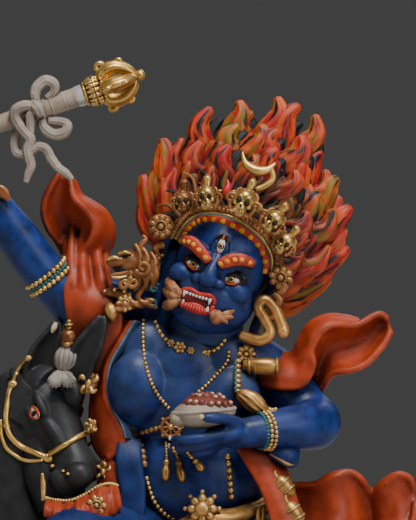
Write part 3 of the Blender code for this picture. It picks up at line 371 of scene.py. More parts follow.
class Carving:
    """Closed forms gathered on a millimetre grid, then made into one piece."""

    def __init__(self, origin=SEAT):
        self.points = []
        self.faces = []
        self.strokes = []  # for each point, a place that changes quickly round a form and slowly along it
        self.grid = Matrix.Translation(origin) @ Matrix.Scale(MM, 4)

    def skin(self, first, rings, last, strokes=None):
        """A closed skin over rings of points that turn to the left as seen from the last point."""
        start = len(self.points)
        around = len(rings[0])
        self.points.append(first)
        for ring in rings:
            self.points.extend(ring)
        self.points.append(last)
        end = len(self.points) - 1
        self.strokes += strokes or [(0.0, 0.0, 0.0)] * (end + 1 - start)
        for k in range(around):
            m = (k + 1) % around
            self.faces.append((start, start + 1 + m, start + 1 + k))
            self.faces.append((end, end - around + k, end - around + m))
        for row in range(len(rings) - 1):
            low = start + 1 + row * around
            for k in range(around):
                m = (k + 1) % around
                self.faces.append((low + k, low + m, low + around + m, low + around + k))

    def ball(self, centre, radii, turn=(0, 0, 0), frame=Matrix(), around=20):
        """An ellipsoid. A frame places it in the head's or another part's own axes."""
        radii = (radii,) * 3 if isinstance(radii, (int, float)) else radii
        place = self.grid @ frame @ Matrix.Translation(centre) @ turned(turn) @ Matrix.Diagonal((*radii, 1))
        steps = max(5, around * 2 // 3)
        rings = []
        for i in range(1, steps):
            level, reach = -math.cos(math.pi * i / steps), math.sin(math.pi * i / steps)
            rings.append([
                place @ Vector((reach * math.cos(2 * math.pi * k / around),
                                reach * math.sin(2 * math.pi * k / around), level))
                for k in range(around)
            ])
        self.skin(place @ Vector((0, 0, -1)), rings, place @ Vector((0, 0, 1)))

    def swept(self, rows, facing=(0, -1, 0), frame=Matrix(), around=14, along=24, flutes=0, flute_depth=0.1,
              twist=0.0):
        """A form along a curve. A row is x, y, z, half width and, if it isn't round, half depth.

        Flutes are ridges with sharp grooves between them, and twist turns them as they go along.
        """
        rows = [(*row, row[3]) if len(row) == 4 else row for row in rows]
        place = self.grid @ frame
        seed = 3.7 * (len(self.points) % 97)
        rings, strokes = [], [(1.0, 0.0, seed)]
        for i in range(1, along):
            share = i / along
            x, y, z, width, depth = along_curve(rows, share)
            tangent = (Vector(along_curve(rows, share + 0.02)[:3])
                       - Vector(along_curve(rows, share - 0.02)[:3])).normalized()
            side = tangent.cross(Vector(facing)).normalized()
            outward = side.cross(tangent)
            ring = []
            for k in range(around):
                turn = -2 * math.pi * k / around
                ridge = 2 * abs(math.cos((flutes * turn + twist * share) / 2)) - 1
                swell = 1 + flute_depth * ridge if flutes else 1
                strokes.append((math.cos(turn), math.sin(turn), seed + share))
                ring.append(place @ (Vector((x, y, z)) + swell
                                     * (width * math.cos(turn) * side + depth * math.sin(turn) * outward)))
            rings.append(ring)
        strokes.append((1.0, 0.0, seed + 1))
        self.skin(place @ Vector(rows[0][:3]), rings, place @ Vector(rows[-1][:3]), strokes)

    def cloth(self, near_edge, far_edge, hollow=0.0, ripples=0, ripple=0.0, thickness=1.3, hem=0.95,
              along=56, across=14):
        """Carved cloth between two edge curves, with rounded hems and its middle lying back by hollow."""

        def surface(u, v):
            near, far = Vector(along_curve(near_edge, u)), Vector(along_curve(far_edge, u))
            back = 4 * v * (1 - v) * hollow * (far - near).length
            wave = ripple * math.sin(2 * math.pi * ripples * u)
            return near.lerp(far, v) + Vector((0, back + wave, 0))

        rings = []
        for i in range(along + 1):
            u = 0.01 + 0.98 * i / along
            front, rear = [], []
            for j in range(across + 1):
                v = j / across
                lengthwise = surface(u + 0.01, v) - surface(u - 0.01, v)
                crosswise = surface(u, min(1, v + 0.05)) - surface(u, max(0, v - 0.05))
                normal = lengthwise.cross(crosswise).normalized() * thickness / 2
                front.append(self.grid @ (surface(u, v) - normal))
                rear.append(self.grid @ (surface(u, v) + normal))
            rings.append(front + rear[::-1])
        ends = [sum(ring, Vector()) / len(ring) for ring in (rings[0], rings[-1])]
        self.skin(ends[0], rings, ends[1])
        for edge in (near_edge, far_edge):
            self.swept([(*row, hem) for row in edge], around=10, along=along)

    def spiral(self, centre, radius, thick, start=0.0, turns=1.4, frame=Matrix()):
        """A curled scroll that winds in towards its middle. Turns below zero wind the other way."""
        rows = []
        for k in range(11):
            away = radius * (1 - 0.78 * k / 10)
            turn = math.radians(start) + 2 * math.pi * turns * k / 10
            rows.append((centre[0] + away * math.cos(turn), centre[1] - 0.06 * k * thick,
                         centre[2] + away * math.sin(turn), thick * (1 - 0.35 * k / 10)))
        self.swept(rows, facing=(0, 1, 0), frame=frame, around=10, along=40)

    def piece(self, name, paint, voxel=None, soften=0, keep=0.4, stands_for=None, slot=None, body="root"):
        """Makes the gathered forms one smooth-shaded piece of the statue.

        Keep is the share of a fused mesh's triangles that stay: the voxels are fine enough for the smallest
        form, and the broad forms between need far fewer.
        """
        mesh = bpy.data.meshes.new(name)
        mesh.from_pydata(self.points, [], self.faces)
        if not voxel:
            kept = mesh.attributes.new("stroke", "FLOAT_VECTOR", "POINT")
            kept.data.foreach_set("vector", [value for stroke in self.strokes for value in stroke])
        made = bpy.data.objects.new(name.replace(" ", "_"), mesh)
        bpy.context.scene.collection.objects.link(made)
        if voxel:
            fuse = made.modifiers.new("fuse", "REMESH")
            fuse.mode = "VOXEL"
            fuse.voxel_size = voxel * MM
            smooth = made.modifiers.new("soften", "SMOOTH")
            smooth.iterations = soften
            thin = made.modifiers.new("thin", "DECIMATE")
            thin.ratio = keep
            fused = made.evaluated_get(bpy.context.evaluated_depsgraph_get())
            made.data = bpy.data.meshes.new_from_object(fused)
            made.modifiers.clear()
        made.data.materials.clear()
        made.data.materials.append(paint)
        made.data.shade_smooth()
        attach(made, body)
        if stands_for:
            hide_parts(stands_for)
        triangles = sum(len(face.vertices) - 2 for face in made.data.polygons)
        TRIANGLES[name] = triangles
        print(f"{name}: {triangles} triangles")
        return made


# %% [markdown]
# The base isn't in the photograph, so it is kept plain: the low oval plinth with one row of lotus petals that
# statues of this kind stand on. We repeat the casting's formula with many more points to a petal and add a
# second ridge along each petal's middle.

# %% Lotus base
PETALS = 20
POINTS_PER_PETAL = 16
BULGE = 1.6
half_length = (base_high[0] - base_low[0]) / 2 / MM
half_depth = (base_high[1] - base_low[1]) / 2 / MM
height = base_high[2] / MM
petals_from, petals_to = 2.4, height - 2.2
rise = petals_to - petals_from


def lotus_rings():
    """The oval plinth, ring by ring from its underside up."""
    count = PETALS * POINTS_PER_PETAL
    rings = [(0, 0, 0), (0.3, 0, 0), (petals_from - 0.4, 0, 0), (petals_from, 0.5, 0)]
    for step in range(13):
        share = step / 12
        fullness = math.sin(math.pi * min(1, 0.12 + 0.88 * share)) ** 0.6 if share < 1 else 0.15
        inset = BULGE * (1.3 - 1.1 * share * (1 - share) * 1.5 + 1.1 * share**2)
        rings.append((petals_from + 0.4 + share * (rise - 0.4), inset, fullness))
    rings += [(petals_to + 0.3, 1.5 * BULGE, 0), (height - 0.5, 1.4 * BULGE, 0), (height, 1.6 * BULGE, 0)]
    loops = []
    for level, inset, fullness in rings:
        loop = []
        for i in range(count):
            angle = 2 * math.pi * i / count
            petal = abs(math.cos(PETALS * angle / 2))
            rib = 0.25 * max(0, math.cos(PETALS * angle)) ** 8
            reach = 2 * BULGE * fullness * (petal**0.7 - 0.7) + rib * fullness - inset
            loop.append(Vector((
                (half_length + reach) * math.cos(angle), (half_depth + reach) * math.sin(angle), level)) * MM)
        loops.append(loop)
    return loops


red_lotus = hand_painted("lotus red", (0.30, 0.04, 0.02), (0.05, 0.008, 0.004), (0.62, 0.36, 0.14), 0.5,
                         hollow=2, rub_and_highlight_amount=0.7)
base_carving = Carving(Vector())
base_carving.skin(Vector((0, 0, 0)), lotus_rings(), Vector((0, 0, height * MM)))
base_carving.piece("lotus base", red_lotus, stands_for="base", slot="lotus_paint")

# %% [markdown]
# The mule walks to the left and turns its head back towards us. Its body is a fused row of soft forms. The
# head gets its own axes, along the face, to its side and up from it, so that eyes, nostrils and bridle can be
# placed as a sculptor would measure them.

# %% Mule's body
POLL = Vector((-30, -3, 109))
NOSE = Vector((-18, -14.5, 83))
FACE_LENGTH = 0.82  # a step along the face is this much shorter than the others


def mule_head_frame():
    """The head's own axes, as the columns along, side and up."""
    along = (NOSE - POLL).normalized()
    side = Vector((-along.y, along.x, 0)).normalized()
    up = along.cross(side)
    frame = Matrix.Identity(4)
    for column, axis in enumerate((along, side, up)):
        frame.col[column].xyz = axis
    frame.col[0].xyz = along * FACE_LENGTH
    frame.col[3].xyz = POLL
    return frame


MULE_HEAD = mule_head_frame()


def mule_leg(clay, top, knee, pastern, hoof, thick):
    """A leg from the body down to the pastern."""
    clay.swept(
        [(*top, thick), (*knee, thick * 0.5), (*pastern, thick * 0.36), (hoof[0], hoof[1], 3.4, thick * 0.45),
         (hoof[0] - 0.8, hoof[1], 0.6, thick * 0.6)],
        facing=(1, 0, 0), along=20,
    )
    clay.ball(knee, (thick * 0.52, thick * 0.56, thick * 0.75))


LEGS = (
    ((-36, -4, 36), (-39, -6, 20), (-38, -7, 8), (-38.5, -7), 7),
    ((-32, 13, 36), (-29, 14, 20), (-28, 14, 8), (-28, 14), 7),
    ((32, -4, 36), (37, -6, 22), (33, -7, 9), (31.5, -7), 8.5),
    ((36, 13, 36), (42, 14, 22), (40, 14, 9), (39, 14), 8.5),
)
mule = Carving(GROUND)
mule.swept([(-44, 4, 43, 9), (-37, 4, 43, 14), (-18, 5, 44, 15), (2, 5, 43, 14.5), (22, 5, 44, 15.5),
            (36, 5, 43, 14.5), (44, 5, 42, 8)], around=28, along=28)
mule.swept([(-34, 4, 42, 14), (-40, 3.5, 57, 14), (-42, 3, 72, 12.5, 10.5), (-41, 2.5, 86, 11, 9),
            (-37, 1.5, 98, 9.5, 8), (-32, 0, 106, 7)], around=28, along=28)
mule.ball((34, 5, 44), (13.5, 14.5, 16.5), around=28)
mule.ball((-33, 4.5, 42), (13.5, 14, 16.5), around=28)
for leg in LEGS:
    mule_leg(mule, *leg)
mule_body = mule.piece("mule body", black_coat, voxel=0.62, soften=6, stands_for="mule", slot="black_coat")

# %% [markdown]
# The head is in the photograph from the ears to the chin, so it is fused at a finer size: long flat nose,
# round cheek, brow bosses over the eyes, soft lips and two tall ears, cupped in front.

# %% Mule's head
EARS = (
    ((-33.4, -3, 104), (-33.9, -4, 108.6), (-32.2, -4.6, 114.6), (-30.2, -4.4, 119), (-29.4, -4, 121.6)),
    ((-25.4, -7, 104), (-24.2, -9.6, 109.6), (-21.8, -11, 115.4), (-19.2, -11, 120.4), (-18.2, -10.4, 123)),
)
EAR_WIDTHS = (2.4, 3.2, 3.1, 1.6, 0.4)
head = Carving(GROUND)
head.swept([(-4, 0, -9, 5.5, 6), (4, 0, -8.4, 7.4, 8.4), (11, 0, -8.6, 7.2, 9), (18, 0, -7.4, 5.5, 7),
            (24, 0, -6.4, 4.8, 5.4), (30, 0, -6.4, 5.6, 5.6), (34, 0, -7.4, 4, 4)], frame=MULE_HEAD,
           facing=(0, 0, 1), around=28, along=30)
head.swept([(6, 0, -15, 5.2, 5), (13, 0, -14.6, 5.0, 4.4), (22, 0, -12.6, 3.4, 3), (28, 0, -14, 3.8, 2.8),
            (31.5, 0, -14.6, 2.4, 2)], frame=MULE_HEAD, facing=(0, 0, 1), around=20)
head.swept([(-37, 1.5, 96, 9), (-33, 0, 104, 7.2), (-30, -3, 104, 6)], around=20, along=14)
for side in (-1, 1):
    head.ball((8.8, side * 5.6, -3.2), (4.4, 1.4, 1.3), frame=MULE_HEAD)
    head.ball((8.2, side * 6.4, -6.6), (3.8, 1.5, 1.1), frame=MULE_HEAD)
    head.swept([(11, side * 5.0, -4.8, 1.6), (18, side * 3.9, -4.4, 1.8), (25, side * 3.0, -4.6, 1.4)],
               frame=MULE_HEAD)
    head.ball((10, side * 6.2, -11.5), (5.4, 2.0, 4.6), frame=MULE_HEAD)
    head.ball((31, side * 3.8, -3.8), (2.8, 1.8, 2), frame=MULE_HEAD)
    head.swept([(29, side * 2.6, -9.4, 1.3), (32, side * 2.8, -9.8, 1.5), (34.6, side * 1.2, -9.4, 1.2)],
               frame=MULE_HEAD)
head.swept([(-34, -1, 92, 6), (-32, -3.4, 84, 6), (-29, -4, 76, 5)], around=20)
head.ball((-26.6, -10.6, 82.2), (4.8, 4.4, 3.4), turn=(0, 25, 0))
head.ball((-23.6, -14.2, 84.2), (3.4, 2.6, 3.4), turn=(0, 30, 0))
for ear in EARS:
    edges = [[(x + side * wide, y + 0.4, z) for (x, y, z), wide in zip(ear, EAR_WIDTHS)] for side in (-1, 1)]
    head.cloth(*edges, hollow=0.22, thickness=1.5, hem=0.75, along=40, across=12)
    head.ball(ear[0], (2.6, 2.2, 3.2))
mule_head = head.piece("mule head", black_coat, voxel=0.34, soften=4)

# %% [markdown]
# Straps, eyes, brows, lips and beads lie on a finished surface. To set them we send a line from in front of
# the head or the body straight back and read where it meets the form, so nothing floats or sinks.

# %% Finding the surface


def surface_of(*pieces):
    """Search trees over the faces of finished pieces."""
    trees = []
    for piece in pieces:
        mesh = piece.data
        trees.append(BVHTree.FromPolygons([v.co for v in mesh.vertices],
                                          [f.vertices[:] for f in mesh.polygons]))
    return trees


def lay(trees, x, z, frame=Matrix(), lift=0.0, origin=SEAT, default=None):
    """The point x, y, z on the front of a surface, in the frame's own millimetres."""
    grid = Matrix.Translation(origin) @ Matrix.Scale(MM, 4) @ frame
    start = grid @ Vector((x, -60, z))
    direction = (grid.to_3x3() @ Vector((0, 1, 0))).normalized()
    hits = [tree.ray_cast(start, direction) for tree in trees]
    depths = [(grid.inverted() @ hit[0]).y for hit in hits if hit[0] is not None]
    if not depths:
        return None if default is None else (x, default, z)
    return (x, min(depths) - lift, z)


def laid(trees, points, thick, lift=0.1, **where):
    """Rows for a strap or a cord that lies on a surface along points x, z, or x, z, half width."""
    return [(*lay(trees, point[0], point[1], lift=lift, **where), point[2] if len(point) > 2 else thick)
            for point in points]


mule_surface = surface_of(mule_head, mule_body)
print("the mule's eye lies at", [round(value, 1) for value in lay(mule_surface, -34.7, 99.3, origin=GROUND)])

# %% [markdown]
# The eyes are white with a dark pupil and a red rim, the nostrils and the mouth are dark, and the tip of
# one ear is rubbed bare. These are thin forms laid on the head.

# %% Mule's ears, eyes, nostrils and lips
ear_tip = Carving(GROUND)
ear_tip.swept([(-30.6, -5.4, 118.6, 0.3), (-30.0, -5.2, 120.0, 0.75), (-29.5, -4.8, 121.3, 0.4)], around=10,
              along=12)
ear_tip.piece("tip of the ear", cream)
whites, pupils, rims, nostrils = Carving(GROUND), Carving(GROUND), Carving(GROUND), Carving(GROUND)
for side in (-1, 1):
    x, y, z = 10.4, side * 7.1, -4.6
    whites.ball((x, y, z), (2.1, 0.7, 1.15), frame=MULE_HEAD)
    pupils.ball((x + 0.2, y + side * 0.35, z), (0.95, 0.5, 0.85), frame=MULE_HEAD)
    for lid in (-1, 1):
        rims.swept([(x - 2.4, y + side * 0.1, z, 0.2), (x, y + side * 0.55, z + lid * 1.35, 0.36),
                    (x + 2.4, y, z, 0.2)], frame=MULE_HEAD, facing=(0, 1, 0), around=8, along=12)
    nostrils.ball((32.4, side * 4.9, -4.2), (1.3, 0.6, 0.9), turn=(0, -25, 0), frame=MULE_HEAD)
    nostrils.swept([(34.8, side * 0.5, -11.6, 0.3), (32.8, side * 3.0, -11.6, 0.4),
                    (28, side * 3.9, -12, 0.3)], frame=MULE_HEAD, around=8, along=12)
whites.piece("mule eyes", white_enamel)
pupils.piece("mule pupils", black_enamel)
rims.piece("mule eyelids", brow_red)
nostrils.piece("nostrils and mouth line", hand_painted("warm black", (0.02, 0.008, 0.008), WASH_AND_SHADE_BLACK,
                                                       (0.08, 0.05, 0.05), 0.4))

# %% [markdown]
# Hair comes in locks: a mane down the neck, a tail, and a pale forelock tied up in a topknot between the
# ears. Each lock is a fluted tube, so the light finds strands in it.

# %% Mane, tail and forelock
hair = Carving(GROUND)
MANE = [(-28, 8, 59), (-45, 7.5, 68), (-52.3, 6.5, 82), (-50, 5.5, 94), (-43.5, 4, 104), (-36.5, 2, 108.5)]
for i in range(26):
    x, y, z = along_curve(MANE, (i + 0.5) / 26)
    lean = -1.2 + 2.4 * (i % 2)
    hair.swept([(x + 1.5, y + lean, z + 1.5, 1.6), (x - 1.4, y + lean * 1.3, z + 0.5, 1.7, 1.2),
                (x - 0.8, y + lean * 2.4, z - 4.5, 1.3, 0.9), (x + 1.4, y + lean * 3.2, z - 8, 0.3)],
               around=10, along=12, flutes=5, flute_depth=0.14)
for i in range(7):
    turn = 2 * math.pi * i / 7
    dx, dy = 1.5 * math.cos(turn), 1.5 * math.sin(turn)
    hair.swept([(42, 5, 50, 1.5), (48.4 + dx, 6 + dy, 47, 1.7), (51.6 + dx, 7 + dy, 36, 1.9),
                (49.5 + dx * 0.8, 8 + dy * 0.8, 24, 1.6), (46.8 + dx * 0.3, 9 + dy * 0.3, 15, 0.4)],
               around=10, along=22, flutes=5, flute_depth=0.16)
hair.piece("mane and tail", black_coat)
forelock = Carving(GROUND)
for side in (-1, 1):
    for k in range(6):
        turn = math.radians(-150 + 24 * k + side * 8)
        forelock.swept([(-27.9 + side * 0.5, -9.6, 109.6, 0.5),
                        (-27.9 + side * 1.4 + 1.3 * math.cos(turn), -10.9, 108.2 + 1.2 * math.sin(turn),
                         0.6), (-27.9 + side * 1.5 + 2.0 * math.cos(turn), -10.2,
                                107.8 + 2.4 * math.sin(turn), 0.25)], around=12, along=14, flutes=2)
for k in range(12):
    turn = 2 * math.pi * k / 12
    dx, dy = math.cos(turn), math.sin(turn)
    forelock.swept([(-27.6 + dx * 0.8, -8.8 + dy * 0.8, 109.8, 0.6),
                    (-27.1 + dx * 2.0, -9 + dy * 1.6, 111.6, 0.6),
                    (-26.8 + dx * 2.1, -9.2 + dy * 1.7, 113.6, 0.6),
                    (-26.7 + dx * 0.9, -9.3 + dy * 0.8, 115.4, 0.5), (-26.7, -9.3, 116, 0.3)], around=12,
                   along=18, flutes=2)
forelock.ball((-27.0, -9.1, 112.6), (2.0, 1.6, 2.6))
forelock.ball((-27.9, -9.2, 108.2), (2.8, 1.4, 1.8))
grey_ivory = hand_painted("grey ivory", (0.24, 0.205, 0.18), (0.035, 0.024, 0.018), (0.66, 0.60, 0.54), 0.5,
                          hollow=1.4, wash_and_shade_amount=0.95, rub_and_highlight_amount=0.5)
forelock.piece("forelock", grey_ivory)
knot = Carving(GROUND)
knot.ball((-26.5, -9.3, 117.6), (1.9, 1.7, 2.1))
knot.swept([(-28.0, -10, 116.2, 0.4), (-26.6, -11, 116.0, 0.6), (-25.2, -10, 116.4, 0.4)], around=10,
           along=12)
knot.piece("knob over the topknot", copper_gold)

# %% [markdown]
# The bridle is painted gold: a cheek strap, a noseband, an oval joint with beads below it and a thinner outer
# strap. On the hidden side only the bands go on. The saddle cloth and the hooves belong to the part that the
# photograph leaves out, so they are simple.

# %% Bridle, saddle cloth and hooves
bridle = Carving(GROUND)
CHEEK_STRAP = [(-40.1, 106.1), (-41, 104.6), (-41.5, 101.2), (-41.7, 98), (-41, 94.2), (-38.2, 91.2),
               (-34.3, 89.5), (-31.8, 88.6)]
NOSEBAND = [(-30.9, 89.3), (-28.9, 90.5), (-27, 91.7), (-23.5, 93.7), (-21.1, 94.2), (-19.4, 92.7)]
OUTER_STRAP = [(-43, 97.6), (-42.8, 93.7), (-41.6, 90.7), (-39.1, 88.6), (-36.5, 87.6), (-32.4, 87.8)]
POLL_STRAP = [(-40.1, 106.1), (-39.4, 108.5), (-37.9, 111), (-36.2, 112.4)]
for strap, thick in ((CHEEK_STRAP, 0.68), (NOSEBAND, 0.68), (OUTER_STRAP, 0.45), (POLL_STRAP, 0.6)):
    bridle.swept(laid(mule_surface, strap, thick, lift=0.25, origin=GROUND, default=-1), around=12,
                 along=60, flutes=4, flute_depth=0.12, twist=26)
for x, z, wide in ((-31.3, 88.3, 1.5), (-30.1, 86.4, 0.7), (-27.4, 85.4, 0.6), (-26.2, 84.9, 0.55),
                   (-40.1, 106.1, 1.3), (-41.6, 96, 0.95), (-36.3, 90.2, 0.9), (-36.2, 112.6, 0.9)):
    x, y, z = lay(mule_surface, x, z, lift=0.3, origin=GROUND, default=-1)
    bridle.ball((x, y, z), (wide, 0.7, wide * 0.75), turn=(0, 15, 0), around=14)
bridle.swept([(22.5, 5.4, -0.8, 0.6), (22, 6.2, -6, 0.6), (20, 6.6, -10, 0.6), (8, 8.2, -11, 0.6),
              (-1, 7.6, -6, 0.6)], frame=MULE_HEAD, facing=(0, 1, 0), around=10, along=40)
for level, wide in ((118.9, 1.3), (120.0, 0.7), (120.8, 1.1), (121.6, 0.6)):
    bridle.ball((-26.2, -9.3, level), (wide, wide, 0.5), around=16)
bridle.piece("bridle", bright_gold)
saddle = Carving(GROUND)
saddle.cloth([(-15, -3.4, 55), (8, -3.4, 55.5), (31, -3.4, 55)],
             [(-17, -8.8, 33), (8, -8.8, 31.5), (33, -8.8, 33)], hollow=-0.24, along=60, across=24)
saddle.cloth([(-14, 12.6, 56), (8, 12.6, 56.5), (30, 12.6, 56)],
             [(-16, 21.4, 36), (8, 21.6, 35), (31, 21.4, 36)], hollow=0.22, along=60, across=24)
tiger_cloth = hand_painted("saddle cloth", (0.30, 0.10, 0.03), (0.05, 0.012, 0.005), (0.55, 0.30, 0.12),
                           0.6, hollow=2)
saddle.piece("saddle cloth", tiger_cloth)
hooves = Carving(GROUND)
for top, knee, pastern, hoof, thick in LEGS:
    x, y = hoof
    hooves.swept([(x - 0.2, y, 3.6, thick * 0.44), (x - 0.6, y, 1.8, thick * 0.55),
                  (x - 0.9, y, 0.15, thick * 0.64)], around=20, along=12, facing=(1, 0, 0))
hooves.piece("hooves", hand_painted("horn", (0.10, 0.07, 0.05), (0.02, 0.012, 0.01), (0.3, 0.24, 0.18),
                                    0.45, hollow=1))

# %% [markdown]
# The rider's skin is the largest surface in the picture: broad chest, heavy breasts, the raised arm, and the
# bent arm under the skull cup. The head has its own axes, bowed, turned to her right and leaned to her left,
# and is fused at a finer size than the body, because the face is what everyone looks at.

# %% Rider's body
HEAD_AT = Vector((10.5, -5, 73.5))
HEAD = (
    Matrix.Translation(HEAD_AT)
    @ Matrix.Rotation(math.radians(17), 4, "Y")
    @ Matrix.Rotation(math.radians(-8), 4, "Z")
    @ Matrix.Rotation(math.radians(5), 4, "X")
)
FIST = Vector((-52, -4, 106.8))
body = Carving()
body.ball((3, 3, 6), (19, 14, 10), around=28)
body.ball((4, -1, 23), (18, 12.5, 15), around=28)
body.ball((2.5, 0, 43), (18.5, 11.5, 16), around=28)
body.ball((2.5, 2, 53), (20, 9, 8.5), around=28)
body.ball((6.5, -1, 60), (8.5, 8.5, 8), around=24)
body.ball((-9.6, -7.6, 45), (7.6, 6.2, 9.4), turn=(8, 0, 0), around=24)
body.ball((13.5, -7.6, 43), (7, 5, 8), around=24)
for bridge, size in (((-7.5, -4.6, 53), (7.5, 5, 9)), ((2, -6, 50), (9, 5, 9)), ((11, -4.5, 52), (8, 5, 8))):
    body.ball(bridge, size, around=24)
body.swept([(-13, 2, 52, 8), (-20, 1, 60, 7), (-28, -0.5, 68.5, 5.9), (-33.5, -1.5, 74.5, 5.5),
            (-40, -2.5, 83.5, 5.1), (-46.5, -3.5, 93, 3.8), (-49.5, -4, 99, 3.4), (-51.5, -4, 104, 3.6)],
           around=24, along=36)
body.swept([(16, 3, 52, 8), (24.5, 3, 47.5, 7), (31, 0, 40, 6.3), (34.2, -4, 36.6, 6.2), (30, -10, 36, 5.8),
            (24, -14, 35.6, 4.8), (18, -17, 35, 3.8), (12, -19, 34.4, 3.6, 2.8)], around=24, along=44)
body.ball((11.5, -20, 34.6), (5.2, 4, 2.7), turn=(0, -6, 0))
FINGERS = (
    [(12, -22.6, 35.2, 1.5), (6, -25.2, 33.9, 1.4), (1.6, -24.8, 33.4, 1.25), (-1.0, -22.6, 33.9, 0.9)],
    [(12, -21.4, 33.8, 1.5), (6, -23.8, 32.2, 1.4), (1.2, -23.2, 31.5, 1.3), (-1.2, -21, 32.0, 0.95)],
    [(12, -19.4, 32.9, 1.5), (7, -21.4, 30.9, 1.35), (3, -20.8, 30.2, 1.2), (0.6, -18.8, 30.8, 0.9)],
    [(12, -17.4, 32.9, 1.4), (8, -18.6, 30.6, 1.25), (5, -18.2, 30.0, 1.1), (2.8, -16.6, 30.6, 0.85)],
)
for finger in FINGERS:
    body.swept(finger, around=14, along=20)
body.swept([(15, -20, 36.8, 2), (12, -24.2, 38.4, 1.5), (8.6, -26.6, 38.8, 1.3), (6.2, -27.2, 38.9, 0.9)],
           around=14, along=20)
body.ball(FIST, (4.2, 4.6, 4.2))
for k in range(4):
    shift = Vector((-3.6 + 2.3 * k, 0, -1.3 + 0.8 * k))
    knuckles = [(2.6, 3.2, -2.0), (0.6, -2.6, -3.6), (-0.4, -5.6, 0.2), (0, -3.4, 3.2), (0, 1.2, 2.8)]
    body.swept([(*(FIST + shift + Vector(point)), 1.25) for point in knuckles], facing=(1, 0, 0.3),
               around=12, along=20)
body.swept([(-27.5, -26, 0, 6), (-26.5, -26, -8, 5.4), (-24.5, -24.5, -15, 3.8), (-23, -23.6, -21, 3.2)],
           facing=(1, 0, 0), around=22, along=22)
body.swept([(-23, -21.6, -21.6, 3.2), (-24, -27, -23.6, 3.0, 2.2), (-25.6, -33, -25.2, 2.9, 1.5)],
           around=18, along=18)
body.swept([(35, -25, -4, 6), (33.5, -25.4, -12, 5.4), (31.4, -24.8, -19, 3.8), (30, -23.6, -26, 3.2)],
           facing=(1, 0, 0), around=22, along=22)
body.swept([(30, -21.6, -26.6, 3.2), (31.4, -27, -28.6, 3.0, 2.2), (33.4, -33, -30.2, 2.9, 1.5)], around=18,
           along=18)
for foot_x, foot_z, out in ((-25.6, -25.6, -1), (33.4, -30.6, 1)):
    for k in range(5):
        toe_x = foot_x + out * (-2.2 + 1.1 * k) + 0.2
        body.ball((toe_x, -34.2 + 0.35 * k, foot_z), (0.62, 1.1, 0.6), around=10)
body_piece = body.piece("rider body", blue_skin, voxel=0.42, soften=7, stands_for="rider", slot="blue_skin")

# %% [markdown]
# The face follows the old pattern for wrathful guardians: bulging cheeks, knitted brows, broad nose, three
# round eyes and an open mouth with fangs. First the blue flesh, in the head's own axes.

# %% Face and ears
face = Carving()
face.ball((0, 1, 2), (11.6, 12, 13.5), frame=HEAD, around=36)
face.ball((-0.4, -2, -6), (11.2, 10.3, 9.3), frame=HEAD, around=32)
face.ball((-1, -5.6, -11.2), (6.2, 5.2, 3.8), frame=HEAD)
face.ball((-1.8, -9.2, -6.9), (5.2, 2.5, 4.2), frame=HEAD)
face.swept([(-0.1, -9.6, 4.2, 1.5), (-0.4, -11.2, 2, 1.5), (-0.6, -12.4, 0, 1.6), (-0.7, -12.8, -1.2, 1.5)],
           frame=HEAD)
face.ball((-0.7, -12.1, -1.4), (2.4, 2.1, 1.9), frame=HEAD)
for side in (-1, 1):
    face.ball((-0.6 + side * 2.7, -10.9, -1.9), (1.6, 1.7, 1.4), frame=HEAD)
face.ball((-12, 3, -3), (3, 5, 8), frame=HEAD)
BROWS = (
    [(-9.2, -8.4, 5.4), (-7.4, -9.8, 5.9), (-4.9, -10.8, 4.9), (-1.4, -11.6, 2.7)],
    [(0.9, -11.6, 2.7), (2.3, -11.4, 3.9), (4.3, -10.8, 5.1), (6.4, -9.9, 5.5), (8.8, -8.2, 5.0)],
)
for brow in BROWS:
    face.swept([(x, y + 0.7, z, 1.5) for x, y, z in brow], frame=HEAD)
for x, z, size in ((-7.6, -2.4, 3.3), (6.2, -2.8, 3.5)):
    face.ball((x, -7.6, z), (size, size * 0.9, size * 0.92), frame=HEAD)
    face.swept([(x * 0.62, -10.2, z + 1.2, 0.7), (x * 0.75, -9.6, z - 2.6, 0.9),
                (x * 0.8, -8.6, z - 5, 0.7)], frame=HEAD)
for x in (-1.6, 1.2):
    face.swept([(x, -10.7, 4.4, 0.5), (x * 1.2, -10.4, 6.4, 0.6), (x * 0.8, -10, 8.4, 0.4)], frame=HEAD,
               around=8)
for side, out in ((-1, -12.6), (1, 12.0)):
    face.swept([(out, 1.6, 6, 1.2, 2.4), (out + side * 1.6, 0.4, 3.6, 1.2, 2.6),
                (out + side * 1.2, 0.2, -1, 1.1, 2.2), (out + side * 0.4, 0, -6, 1.0, 1.6),
                (out + side * 0.2, -0.4, -10.5, 1.3, 1.7), (out, -0.4, -12.4, 0.9, 1.2)], frame=HEAD,
               along=30)
    face.swept([(out + side * 1.2, -1.8, 5.6, 0.5), (out + side * 2.6, -1.8, 3.6, 0.7),
                (out + side * 2.2, -2, 0, 0.6), (out + side * 1, -2, -2, 0.5)], frame=HEAD, around=10)
face.swept([(7.5, -1, 57, 8.4), (8.5, -2, 62, 8), (9.5, -3, 66, 7.5)], around=24)
face_piece = face.piece("face", blue_skin, voxel=0.26, soften=3, keep=0.55)
face_surface = surface_of(face_piece)
figure_surface = surface_of(body_piece, face_piece)
print("nose tip lies at", [round(value, 1) for value in lay(face_surface, -0.7, -1.2, HEAD)])

# %% [markdown]
# The eyes are set into black painted sockets: a white ball pressed flat, a gold ring, a black pupil, a dark
# upper lid and a red lower one. The third eye stands upright in the forehead.

